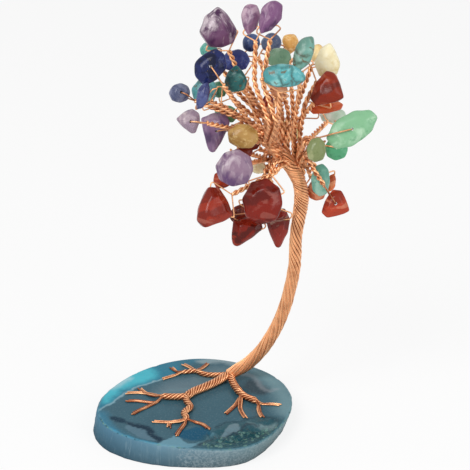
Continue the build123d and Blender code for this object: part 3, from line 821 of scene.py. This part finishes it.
def reach_to(points, line, closed):
    """Distance of each flat point to a line, less than 0 inside a closed one."""
    start = line if closed else line[:-1]
    run = (np.roll(line, -1, axis=0) if closed else line[1:]) - start
    off = points[:, None] - start
    share = np.clip(np.sum(off * run, -1) / np.sum(run * run, -1), 0, 1)
    gap = np.linalg.norm(off - share[..., None] * run, axis=-1).min(axis=1)
    if not closed:
        return gap
    spans = (off[..., 1] < 0) != (off[..., 1] - run[..., 1] < 0)
    side = off[..., 0] * run[..., 1] - off[..., 1] * run[..., 0]
    inside = np.sum(spans & ((side < 0) == (run[..., 1] > 0)), axis=1) % 2 == 1
    return np.where(inside, -gap, gap)


def ripple(x, y, seed):
    """Even noise: a sum of sines across turned directions, from -1 to 1."""
    total = np.zeros(np.broadcast(x, y).shape)
    for i in range(5):
        turn = seed + 2.4 * i
        total = total + np.sin((x * math.cos(turn) + y * math.sin(turn)) * (1 + 0.37 * i) + seed * (i + 2))
    return total / 5


def crystals(points, size):
    """Heights of a crystal crust: the highest of many six-sided points whose sides slope down evenly."""
    dice = np.random.default_rng(11)
    seeds = np.column_stack([dice.uniform(low, high, CRYSTAL_COUNT) for low, high in zip(*CRYSTAL_FIELD)])
    tops = dice.uniform(0.25, 1, CRYSTAL_COUNT) * size
    turns = dice.uniform(0, np.pi, CRYSTAL_COUNT)
    off = points[:, None] - seeds
    across = np.zeros(off.shape[:2])
    for i in range(3):
        angle = turns + i * np.pi / 3
        across = np.maximum(across, np.abs(off[..., 0] * np.cos(angle) + off[..., 1] * np.sin(angle)))
    return np.maximum(np.max(tops - CRYSTAL_SLOPE * across, axis=1), 0)


# The pocket's outline in millimetres
POCKET = (
    (4.2, -18.6), (12.6, -15.6), (21.6, -12), (25.2, -9), (24.6, -15), (19.2, -21.6), (12, -25.2),
    (5.4, -24))
# The dye's patches on the top, in their order: colour, softness, strength and outline in millimetres
PATCHES = (
    ((108, 130, 140), 7.0, 0.75, (
        (-12, 6), (-8, 14), (0, 16), (4, 12), (-2, 6))),
    ((118, 140, 148), 7.0, 0.55, (
        (0, 16), (4, 24), (10, 25), (10, 19), (5, 14))),
    ((44, 124, 150), 2.6, 0.95, (
        (-28.5, -5), (-24.8, 1), (-22, 5.6), (-17, 12), (-13.5, 14.2), (-11, 16), (-7, 19), (-5, 25),
        (-9, 32), (-22, 28), (-33, 14), (-34, 0), (-31, -8))),
    ((78, 188, 204), 4.0, 0.95, (
        (-27, 0.5), (-24, 6), (-19.5, 11.5), (-14.5, 15.5), (-12, 20), (-15, 24), (-22, 20), (-29, 9))),
    ((196, 218, 224), 3.0, 0.6, (
        (-25, 9.5), (-22, 13.5), (-20, 17), (-22.5, 18), (-27, 11))),
    ((54, 120, 144), 4.0, 0.8, (
        (-9, 24), (-3, 27), (3, 29), (8, 33), (-4, 33), (-12, 30))),
    ((58, 122, 148), 3.0, 0.85, (
        (-27, -5), (-24.5, -12), (-21.5, -17.4), (-17, -21.5), (-12, -25), (-8, -27), (-16, -30),
        (-26, -22), (-33, -10))),
    ((12, 50, 70), 1.2, 0.95, (
        (-24.5, -8.6), (-21.5, -9.6), (-20.2, -12.2), (-22.5, -12))),
    ((8, 42, 62), 1.6, 0.95, (
        (-20, -12), (-16.5, -12.8), (-13, -15.5), (-10.6, -19.5), (-8.6, -23.8), (-9.8, -24.6),
        (-12.6, -20.6), (-15.4, -16.8))),
    ((88, 120, 136), 0.9, 0.9, (
        (-19.3, -13.6), (-16.6, -15), (-14.4, -17.4), (-12.2, -21.2), (-10.4, -23.6), (-13.4, -23),
        (-17, -19.6), (-19.4, -16.6))),
    ((4, 80, 110), 2.0, 0.95, (
        (-5.5, -18), (-1, -16.5), (2, -15), (4, -16.5), (4.4, -20.2), (3, -23.6), (0.5, -23.6),
        (-3, -22.2), (-5.4, -19.6))),
    ((108, 154, 172), 0.7, 0.85, (
        (-9.6, -25.6), (-7.2, -22.4), (-5.4, -20.2), (-3.1, -23.2), (-0.8, -25.2), (1.2, -25),
        (3.2, -23.6), (4.6, -20.2), (5.9, -18), (7.9, -20.4), (5.8, -23), (2.2, -26), (-4, -27.6))),
    ((46, 84, 92), 4.0, 0.8, (
        (2.5, -26.6), (6.7, -16.4), (10, -12.4), (14.4, -11.8), (19, -9), (25.5, -9.6), (27.4, -10.5),
        (25.8, -16), (20.5, -23), (14, -27.5), (6, -28))),
    ((114, 138, 148), 0.8, 0.8, (
        (8, -21.6), (9.2, -17.8), (10.4, -14.8), (12.8, -12.9), (14, -15), (12.2, -18.2))),
    ((122, 148, 152), 1.6, 0.75, (
        (16.4, -12), (21, -13), (24.4, -11.6), (24.6, -15), (21.4, -16.3), (18.4, -14.2))),
    ((28, 70, 80), 3.0, 0.85, (
        (9, -21.8), (13, -18.2), (16, -16.6), (20.6, -17.4), (22.6, -19), (20.4, -22.4), (16.4, -25.4),
        (11, -26.4))),
    ((146, 166, 172), 2.5, 0.8, (
        (0, 29), (4.5, 31.5), (11.5, 31), (15.5, 28.5), (13, 25.5), (8.5, 28), (4, 27))),
    ((118, 152, 160), 6.0, 0.8, (
        (18, 24), (26, 18), (30, 8), (30, -10), (26.5, -8), (24.5, 2), (21.5, 14))),
    ((44, 60, 70), 3.2, 0.85, (
        (15, 13.5), (18, 16), (21, 13), (23, 8), (20.5, 5.5), (17, 7))),
)
# The crystal crust's outline, wider than the pocket
DRUSE = ((2.5, -26.5), (8, -21.5), (14, -17), (20, -16), (25, -14), (26, -16), (20.5, -23.5), (13, -28))
# Lines of the dye: colour, width and strength, then the points
VEINS = (
    ((178, 208, 216), 0.8, 0.5, (
        (-28, -4), (-24.8, 1), (-22.1, 5.6), (-16.9, 12), (-13.6, 14.2), (-11.5, 15.6), (-7.5, 19))),
    ((160, 170, 178), 1.8, 0.35, (
        (14, 20), (18, 18.5), (19.5, 15), (21, 11), (23, 8), (25, 9.5))),
    ((60, 150, 186), 0.9, 0.8, (
        (-28.3, -10.6), (-26.4, -13.8), (-23, -17.8), (-18.1, -21.4), (-15.2, -23.4), (-10.1, -26))),
    ((24, 70, 96), 0.6, 0.6, (
        (-28.6, -11.6), (-26.9, -14.6), (-23.6, -18.6), (-18.6, -22.2), (-15.6, -24.2))),
    ((40, 70, 82), 1.1, 0.75, (
        (6.7, -15.6), (9.8, -12.2), (14.2, -11.5), (19, -8.7), (23, -9), (25.6, -11))),
    ((46, 64, 76), 1.0, 0.75, (
        (2.3, -26.3), (4.2, -24), (9.1, -20.4), (14.6, -16.2), (16, -13.6), (19, -13.4))),
    ((112, 142, 152), 2.0, 0.35, (
        (-12, 6), (-6, 9), (0, 10), (6, 16))),
)
# The frosted wall's colour at its top by bearing, in degrees from the right towards the rear
WALL = ((0, (100, 140, 148)), (90, (80, 122, 138)), (170, (70, 130, 156)), (215, (86, 126, 148)),
        (250, (102, 138, 156)), (285, (120, 146, 156)), (320, (112, 142, 148)), (360, (100, 140, 148)))


def painted(colours, colour, mask):
    """Colours moved towards another by a mask."""
    return colours + (np.array(linear(colour)[:3]) - colours) * mask[:, None]


def stained_and_lit(points, rim_share, wall, slate):
    """The dye on the slice: patches and veins on the top, one over another, and the frosted wall by bearing;
    with painted shade at the wall's foot and a painted highlight on the rim.

    The points are first shifted by a broad and a fine ripple, so that the outlines wander.
    """
    x, y = points[:, 0], points[:, 1]
    flat = points[:, :2] + np.column_stack([
        0.6 * ripple(x * 0.5, y * 0.5, broad) + 0.4 * ripple(x * 1.9, y * 1.9, fine)
        for broad, fine in ((0.7, 1.9), (3.1, 4.3))])
    colours = np.broadcast_to(slate, (len(points), 3))
    for colour, soft, strength, outline in PATCHES:
        gap = reach_to(flat, closed_line(outline, 6 * len(outline)), True)
        colours = painted(colours, colour, strength * smooth_step(soft / 2, -soft / 2, gap))
    for colour, width, strength, line in VEINS:
        smooth = line_through(np.column_stack((np.array(line), np.zeros(len(line)))), 8 * len(line))[:, :2]
        colours = painted(colours, colour, strength * smooth_step(width, 0, reach_to(flat, smooth, False)))
    bearing = np.degrees(np.arctan2(y, x)) % 360
    sides = np.column_stack([np.interp(bearing, [place for place, _ in WALL],
                                       [linear(colour)[axis] for _, colour in WALL]) for axis in range(3)])
    # Painted shade: the wall darkens towards its foot, partly its own colour and partly the shade where it
    # meets the floor
    sides = sides * (0.42 + 0.58 * points[:, 2:] / SLAB_TOP)
    colours = colours + (sides - colours) * wall[:, None]
    # Painted highlight: a lighter line along the top's rim, where the polished edge catches the light
    edge = smooth_step(0.972, 0.992, rim_share) * (1 - wall)
    return painted(colours, (112, 164, 184), 0.5 * edge)


def agate_material():
    """Dyed agate: glossy where polished, frosted with saw lines on the wall, glittering in the pocket."""
    sheet = Sheet(bpy.data.materials.new("dyed_agate"))
    place = sheet.place()
    finish = sheet.attribute("tint")
    wall = finish.step(0.75, 0.95)
    druse = finish.step(0.1, 0.45) * (1 - wall)
    cloud = sheet.noise(place, 130, 5, 0.6, 0.8)
    grain = sheet.noise(place, 1500, 3)
    fleck = sheet.noise(place, 1500, 3, 0.7)
    mottle = sheet.noise(place, 420, 4, 0.6, 0.6)
    streak = sheet.noise(sheet.turned(place, (0, 0, 0), (1, 1, 0.07)), 900, 4, 0.65)
    to_right = sheet.node("ShaderNodeSeparateXYZ", None, {0: place}, out="X").step(-0.016, 0)
    sugar = sheet.noise(place, 1300, 4, 0.75) * to_right
    glint = sheet.node("ShaderNodeTexVoronoi", None, {"Vector": place, "Scale": 620.0})
    # The slice's colour: dye, with painted shade at the wall's foot and a painted highlight along the rim
    stain_and_light = sheet.attribute("stain_and_light", "Color")
    colour = sheet.mix(cloud.step(0.3, 0.75) * 0.3, stain_and_light, (0.6, 0.68, 0.72, 1), "MULTIPLY")
    for mask, tone in (
        (wall * streak.step(0.5, 0.8) * 0.2, (170, 190, 196)),
        (wall * sugar.step(0.42, 0.62) * 0.3, (176, 188, 192)),
        (druse * mottle.step(0.5, 0.62) * 0.6, (22, 60, 62)),
        (druse * (1 - mottle.step(0.32, 0.44)) * 0.7, (112, 152, 128)),
        (druse * (1 - glint.step(0.3, 0.45)) * mottle.step(0.44, 0.56) * 0.6, (118, 158, 146)),
        ((1 - wall) * fleck.step(0.5, 0.75) * 0.22, (132, 158, 166)),
    ):
        colour = sheet.mix(mask, colour, linear(tone))
    height = wall * streak * 1.2 + druse * glint * 0.5 + grain * 0.03
    return sheet.finish(Base_Color=colour, Roughness=0.1 + wall * 0.4 + druse * 0.15 + grain * 0.06,
                        Specular_IOR_Level=0.04, Normal=sheet.bump(height, 0.5, 0.0004))


def rim_reach(turn):
    """Distance of the rim from the middle at each bearing: a closed cubic through the rim's shares."""
    spoke = 2 * np.pi * np.arange(len(RIM_SHARES)) / len(RIM_SHARES)
    spots = np.column_stack((np.cos(spoke), np.sin(spoke))) * np.array(RIM_SHARES)[:, None] * SLAB_RADIUS
    rim = closed_line(spots, 1200)
    bearing = np.unwrap(np.arctan2(rim[:, 1], rim[:, 0]))
    return np.interp(turn, bearing, np.linalg.norm(rim, axis=1), period=2 * np.pi)


def slice_rows():
    """The slice's section in rows, from the middle of its underside over the rim to the middle of its top.

    Each row has a share of the rim's reach, an inset from it, a height, and 1 on the wall to 0 on the top.
    """
    up = np.linspace(0, 1, WALL_ROWS)
    inward = np.linspace(0, 1, TOP_ROWS + 1)[1:] ** 0.9
    under = np.zeros(UNDER_ROWS)
    share = np.concatenate((np.linspace(0.03, 0.985, UNDER_ROWS), np.ones(WALL_ROWS + BEVEL_ROWS),
                            1 - inward * 0.985))
    inset = SLAB_BEVEL * np.concatenate((under, 0 * up, np.linspace(0.2, 1, BEVEL_ROWS), 1 - inward))
    height = np.concatenate((under, WALL_FOOT + up * (SLAB_TOP - SLAB_BEVEL - WALL_FOOT),
                             SLAB_TOP - SLAB_BEVEL * np.linspace(0.8, 0, BEVEL_ROWS),
                             np.full(TOP_ROWS, SLAB_TOP)))
    wall = np.concatenate((np.ones(UNDER_ROWS + WALL_ROWS), np.linspace(1, 0.1, BEVEL_ROWS), 0 * inward))
    return [row[:, None] for row in (share, inset, height, wall)]


class GEMTREE_OT_slice(bpy.types.Operator):
    """Build the dyed agate slice with its polished top, frosted rim and crystal pocket"""
    bl_idname = "gemtree.slice"
    bl_label = "Agate slice"

    def execute(self, context):
        settings = context.scene.tree_slice
        turn = 2 * np.pi * np.arange(RIM_COLS) / RIM_COLS
        reach = rim_reach(turn)
        share, inset, height, wall = slice_rows()
        rough = WALL_ROUGHNESS * ripple(turn * 30, height * 1.5, 0.4) * wall
        nick = (smooth_step(0.35, 1, ripple(turn * 9, turn * 4, 1.3)) * 0.9
                + smooth_step(0.4, 1, ripple(turn * 23, turn * 11, 2.2)) * 0.5)
        chipped = nick * smooth_step(SLAB_TOP - NICK_REACH, SLAB_TOP, height) * share ** 6
        far = share * reach - inset - rough * share - NICK_DEPTH * chipped
        slant = sum(lean * np.maximum(np.cos(turn - math.radians(bearing)), 0) ** 2
                    for lean, bearing in WALL_SLANTS)
        far = far * (1 + slant * (1 - height / SLAB_TOP))
        points = np.stack((far * np.cos(turn), far * np.sin(turn), np.broadcast_to(height, far.shape)), -1)
        flat = points.reshape(-1, 3)
        wall = np.repeat(wall, RIM_COLS)
        top = wall == 0
        pocket = smooth_step(0.5, -0.9, reach_to(flat[:, :2], np.array(POCKET), True)) * top
        crust = np.zeros(len(flat))
        sunk = pocket > 0
        crust[sunk] = crystals(flat[sunk, :2], settings.crystal / MM)
        flat[:, 2] -= pocket * np.maximum(POCKET_DEPTH - crust, 0)
        stain_and_light = stained_and_lit(flat, (far / reach).ravel(), wall, np.array(settings.slate[:3]))
        ragged = 1.2 * ripple(flat[:, 0] * 1.3, flat[:, 1] * 1.3, 2.7)
        druse = smooth_step(2, -2, reach_to(flat[:, :2], closed_line(DRUSE, 54), True) + ragged) * top
        batch = Batch()
        batch.grid(points, np.maximum(wall, 0.5 * druse).reshape(far.shape), cap_ends=True)
        batch.piece("agate_polished", agate_material(), "tree", "agate", "agate_slice", stain_and_light)
        return {"FINISHED"}


class GEMTREE_OT_trunk(bpy.types.Operator):
    """Build the trunk: copper strands that wind round its bowed line and on into the left bough"""
    bl_idname = "gemtree.trunk"
    bl_label = "Trunk"

    def execute(self, context):
        wire = context.scene.tree_wire
        batch = Batch()
        radius = wire.diameter / MM / 2
        limb = tip_of("left") - CROWN
        low = TRUNK_LINE[0] - unit(TRUNK_LINE[1] - TRUNK_LINE[0]) * TRUNK_SINK
        ends = [CROWN + share * limb for share in LIMB_SHARES]
        line = line_through(np.concatenate(([low], TRUNK_LINE, ends)), TRUNK_ROWS)
        run = run_of(line)
        share = run / run[-1]
        bulk = np.interp(share, *zip(*TRUNK_BULK))
        lay = TRUNK_LAY
        for change, start, end in TRUNK_LAY_CHANGES:
            lay = lay + change * smooth_step(start, end, share)
        rate = lay * 2 * np.pi / (wire.trunk_pitch / MM)
        phase = np.concatenate(([0], np.cumsum(np.diff(run) * rate[1:])))
        coarse = smooth_step(0.4, 0.75, share)
        for i in range(wire.trunk_strands):
            turn = 2 * np.pi * i / wire.trunk_strands - phase
            sunk = (i % 3 == 0) * (0.3 + 0.7 * coarse)
            wander = STRAND_WANDER * np.sin(run * 0.21 + i * 2.4) - STRAND_DEPTH * sunk
            strand, out = winding(line, REAR, bulk - radius + wander, turn)
            # Deeper strands get higher tints, painted duller as shade in the grooves
            batch.tube(strand, out, radius * 0.98, tint=(0.1 + 0.2 * spread(i) + 1.1 * sunk)[:, None])
        # A dark core under the strands: painted shade in the gaps between them
        batch.tube(line, REAR, bulk - 1.6 * radius, 24, SHADE_CORE_TINT)
        batch.piece("wire_trunk", copper_material(wire), "tree", "copper", "trunk")
        return {"FINISHED"}


def root_line(stem, arm, tip, thick, thin):
    """A root's line from inside the trunk along the slice to a tip, with the rows of its split and its fork.

    The line is a cubic through the points, each as high above the slice as the root is thick there.
    """
    flat = np.array(stem + arm + tip) * SLAB_RADIUS
    heights = np.full(len(flat), thin)
    heights[:len(stem) + len(arm)] = min(ARM_RADIUS, ARM_SHARE * thick)
    heights[:len(stem)] = thick
    start = TRUNK_LINE[0] + unit(TRUNK_LINE[1] - TRUNK_LINE[0]) * ROOT_START
    spots = np.column_stack((flat, SLAB_TOP + SEAT_GAP + heights))
    line = line_through(np.concatenate(([start, FOOT], spots)), ROOT_ROWS)
    line[:, 2] = np.maximum(line[:, 2], SLAB_TOP + SEAT_GAP + thin)
    ends = flat[[len(stem) - 1, len(stem) + len(arm) - 1]]
    split, fork = np.argmin(np.linalg.norm(line[:, None, :2] - ends, axis=-1), axis=0)
    return line, split, fork


def rope(batch, line, thick, radius):
    """A laid rope: strands wind side by side round a line, every other one painted duller as shade, over a
    dark core of painted shade, drawn in at both ends.
    """
    run = run_of(line)
    drawn = 0.55 + 0.45 * smooth_step(0, ROPE_ENDS, run) * smooth_step(run[-1], run[-1] - ROPE_ENDS, run)
    bulk = thick * drawn
    count = max(int(np.pi * (thick - radius) / (1.03 * radius)), 3)
    turn = ROPE_LAY * run / thick
    for i in range(count):
        strand, out = winding(line, UP, np.maximum(bulk - radius, LEAST_BULK), 2 * np.pi * i / count - turn)
        strand[:, 2] = np.maximum(strand[:, 2], SLAB_TOP + radius)
        # Every other strand gets a higher tint, painted duller as shade between the strands
        batch.tube(strand, out, radius, tint=0.25 + i % 2 + 0.2 * math.sin(i))
    # The dark core is painted shade in the gaps between the strands
    batch.tube(line, UP, np.maximum(bulk - 1.5 * radius, LEAST_BULK), 10, SHADE_CORE_TINT)


class GEMTREE_OT_roots(bpy.types.Operator):
    """Build the roots: laid ropes that leave the trunk's foot, divide into arms and end in cut wires"""
    bl_idname = "gemtree.roots"
    bl_label = "Roots"

    def execute(self, context):
        radius = context.scene.tree_wire.root_diameter / MM / 2
        copper = bpy.data.materials["drawn_copper"]
        for name, arms in ROOT_ARMS.items():
            batch = Batch()
            stem = ROOT_STEMS[name]
            thick = ROOT_RADIUS[name]
            line, split, _ = root_line(stem, arms[0][0], arms[0][1][0], thick, radius)
            rope(batch, line[:split + ROPE_OVERLAP], thick, radius)
            for arm, tips in arms:
                line, split, fork = root_line(stem, arm, tips[0], thick, radius)
                if arm:
                    part = line[split - ROPE_OVERLAP:fork + ROPE_OVERLAP]
                    rope(batch, part, min(ARM_RADIUS, ARM_SHARE * thick), radius)
                for number, tip in enumerate(tips):
                    self.tip(batch, root_line(stem, arm, tip, thick, radius), number, radius)
            batch.piece("wire_" + name, copper, "tree", "copper", name)
        return {"FINISHED"}

    def tip(self, batch, route, number, radius):
        """Wires that leave a fork as a bundle and lie side by side at their cut ends."""
        whole, _, fork = route
        line = whole[fork - TIP_OVERLAP:]
        run = run_of(line)
        beside = unit(np.cross(unit(np.gradient(line, axis=0)), UP))
        free = smooth_step(*TIP_PARTING, run)[:, None]
        for i in range(TIP_WIRES):
            order = number * TIP_WIRES + i
            wound, out = winding(line, UP, 1.1 * radius, 2 * np.pi * i / TIP_WIRES - 0.6 * run + number)
            strand = wound * (1 - free) + (line + beside * (i - 1) * radius * 2.05) * free
            strand[:, 2] = np.maximum(strand[:, 2], SLAB_TOP + radius)
            last = len(run) - (order * 5) % 7
            batch.tube(strand[:last], out[:last], radius, tint=0.4 + spread(order))


def chips_of(bough):
    """The chips that a bough carries, in their order."""
    return [chip for chip, row in CHIPS.items() if row[0] == bough]


def bough_route(bough):
    """A bough's bends from the trunk to its tip, its heading, and the room that its stems take."""
    tip = tip_of(bough)
    heading = unit(tip - CROWN)
    bulk = STEM_ROOM * math.sqrt(len(chips_of(bough)))
    if bough in LIMB_BOUGHS:
        limb = tip_of("left") - CROWN
        halfway = CROWN + 0.5 * limb + LIMB_SHIFT
        route = (TRUNK_LINE[-2], CROWN + 0.1 * limb, halfway, 0.4 * halfway + 0.6 * tip, tip)
        bulk = LIMB_ROOM
    elif bough in HANGING_BOUGHS:
        route = (TRUNK_LINE[-2], CROWN + heading * 1.5, 0.45 * CROWN + 0.55 * tip, tip)
    else:
        riser = CROWN + np.array(RISERS[bough]) * CANOPY
        route = (TRUNK_LINE[-3], riser, 0.45 * riser + 0.55 * tip, tip)
    return np.array(route), heading, bulk


def stem_line(chip, neck):
    """A chip's stem along its bough to the neck of its loop, and a direction to its side.

    The stems of a bough go round its bends on a circle that widens and turns a little towards the tip.
    """
    bough = CHIPS[chip][0]
    carried = chips_of(bough)
    route, heading, bulk = bough_route(bough)
    aside = unit(np.cross(heading, FAN_START))
    turns = 2 * np.pi * carried.index(chip) / len(carried) + np.linspace(0, FAN_TURN, len(route))
    fan = np.cos(turns)[:, None] * aside + np.sin(turns)[:, None] * np.cross(heading, aside)
    bends = route + fan * (np.linspace(*FAN_WIDENING, len(route)) * bulk)[:, None]
    between = (bends[-1] + neck) / 2 + np.array(STEM_LEANS.get(chip, (0, 0, 0)))
    return bent_line((*bends, between, neck), STEM_STEP, STEM_EASE), aside + 0.37 * heading


class GEMTREE_OT_sprays(bpy.types.Operator):
    """Build the sprays: for each chip a twisted pair from the crown along its bough, ending in its loop"""
    bl_idname = "gemtree.sprays"
    bl_label = "Sprays"

    def execute(self, context):
        wire = context.scene.tree_wire
        diameter = wire.diameter / MM
        radius = wire.pair_diameter / MM / 2
        copper = bpy.data.materials["drawn_copper"]
        for bough in BOUGH_TIPS:
            batch = Batch()
            for number, chip in enumerate(chips_of(bough)):
                shade = spread(number)
                loop, normal, neck = loop_lines(chip, diameter)
                batch.tube(loop, normal, diameter / 2, tint=shade, closed=True)
                line, side = stem_line(chip, neck)
                phase = run_of(line) * 2 * np.pi / (wire.pair_pitch / MM) + number
                for half in (0, np.pi):
                    strand, out = winding(line, side, radius, half - phase)
                    # The second wire of each pair gets a higher tint, painted duller as shade between the two
                    # wires
                    batch.tube(strand, out, radius, tint=0.05 + 0.3 * shade + 0.15 * half)
            batch.piece("wire_spray_" + bough, copper, "tree", "copper", "spray_" + bough)
        return {"FINISHED"}


class GEMTREE_OT_chips(bpy.types.Operator):
    """Build the gem chips: tumbled stones with their drill holes on the wire"""
    bl_idname = "gemtree.chips"
    bl_label = "Gem chips"

    def execute(self, context):
        for chip, (_, *colours) in CHIPS.items():
            batch = Batch()
            points = chip_grid(chip, context.scene.tree_gems)
            # The tint rises towards the key light's side, where amethysts get a painted highlight
            lit = (points - points.mean(axis=(0, 1))) @ unit(LIT_SIDE)
            batch.grid(points, lit / np.abs(lit).max(), wrap_rows=True)
            batch.piece("gem_" + chip, gem_material(chip, *colours), chip, stone_of(chip), chip)
        return {"FINISHED"}


class GEMTREE_OT_stage(bpy.types.Operator):
    """Set up the pale floor, the soft light and the camera"""
    bl_idname = "gemtree.stage"
    bl_label = "Stage"

    def execute(self, context):
        studio = context.scene.tree_studio
        scene = context.scene
        scene.view_settings.view_transform = "Standard"
        floor = bpy.data.meshes.new("floor")
        signs = ((-1, -1), (1, -1), (1, 1), (-1, 1))
        floor.from_pydata([(x * FLOOR_REACH, y * FLOOR_REACH, 0) for x, y in signs], [], [(0, 1, 2, 3)])
        board = bpy.data.objects.new("floor", floor)
        scene.collection.objects.link(board)
        sheet = Sheet(bpy.data.materials.new("white_board"))
        matt = sheet.node("ShaderNodeBsdfDiffuse", None, {"Color": (0.9, 0.9, 0.9, 1)})
        bright = sheet.node("ShaderNodeEmission", None, {"Color": WHITE, "Strength": 1.0})
        both = sheet.node("ShaderNodeMixShader", None, {0: sheet.seen() * 0.82, 1: matt, 2: bright})
        floor.materials.append(sheet.surface(both))

        room = Sheet(bpy.data.worlds.new("white_room"))
        strength = studio.ambient + room.seen() * (1 - studio.ambient)
        sky = room.node("ShaderNodeBackground", None, {"Color": WHITE, "Strength": strength})
        scene.world = room.surface(sky)

        for name, (place, size, share) in LIGHTS.items():
            light = bpy.data.lights.new(name, "AREA")
            light.size = size
            light.energy = studio.key * share
            lamp = bpy.data.objects.new(name, light)
            lamp.location = place
            aim = LIGHT_TARGET - np.array(place)
            lamp.rotation_euler = (math.atan2(math.hypot(aim[0], aim[1]), -aim[2]), 0,
                                   math.atan2(aim[1], aim[0]) - math.pi / 2)
            scene.collection.objects.link(lamp)

        camera = bpy.data.cameras.new("camera")
        camera.sensor_width = SENSOR_WIDTH
        camera.lens = LENS
        camera.clip_start = 0.05
        camera.clip_end = 20
        eye = bpy.data.objects.new("camera", camera)
        toward = np.array((0, -math.cos(studio.elevation), math.sin(studio.elevation)))
        eye.location = VIEW_TARGET + studio.distance * toward
        eye.rotation_euler = (math.pi / 2 - studio.elevation, 0, 0)
        scene.collection.objects.link(eye)
        scene.camera = eye
        return {"FINISHED"}


class GEMTREE_PT_panel(bpy.types.Panel):
    """Lists the pieces of the tree and their sizes"""
    bl_idname = "GEMTREE_PT_panel"
    bl_label = "Gem tree"
    bl_space_type = "VIEW_3D"
    bl_region_type = "UI"
    bl_category = "Gem tree"

    def draw(self, context):
        for operator in OPERATORS:
            self.layout.operator(operator.bl_idname)
        for name in SETTINGS:
            group = getattr(context.scene, name)
            for key in type(group).__annotations__:
                self.layout.prop(group, key)


OPERATORS = (GEMTREE_OT_slice, GEMTREE_OT_trunk, GEMTREE_OT_roots, GEMTREE_OT_sprays, GEMTREE_OT_chips,
             GEMTREE_OT_stage)
SETTINGS = {"tree_wire": Wire, "tree_slice": Slice, "tree_gems": Gems, "tree_studio": Studio}


def register():
    for group in (*SETTINGS.values(), *OPERATORS, GEMTREE_PT_panel):
        bpy.utils.register_class(group)
    for name, group in SETTINGS.items():
        setattr(bpy.types.Scene, name, PointerProperty(type=group))


def unregister():
    for name in SETTINGS:
        delattr(bpy.types.Scene, name)
    for group in reversed((*SETTINGS.values(), *OPERATORS, GEMTREE_PT_panel)):
        bpy.utils.unregister_class(group)


def main():
    register()
    bpy.ops.gemtree.slice()
    bpy.ops.gemtree.trunk()
    bpy.ops.gemtree.roots()
    bpy.ops.gemtree.sprays()
    bpy.ops.gemtree.chips()
    bpy.ops.gemtree.stage()
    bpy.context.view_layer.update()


if __name__ == "__main__":
    main()
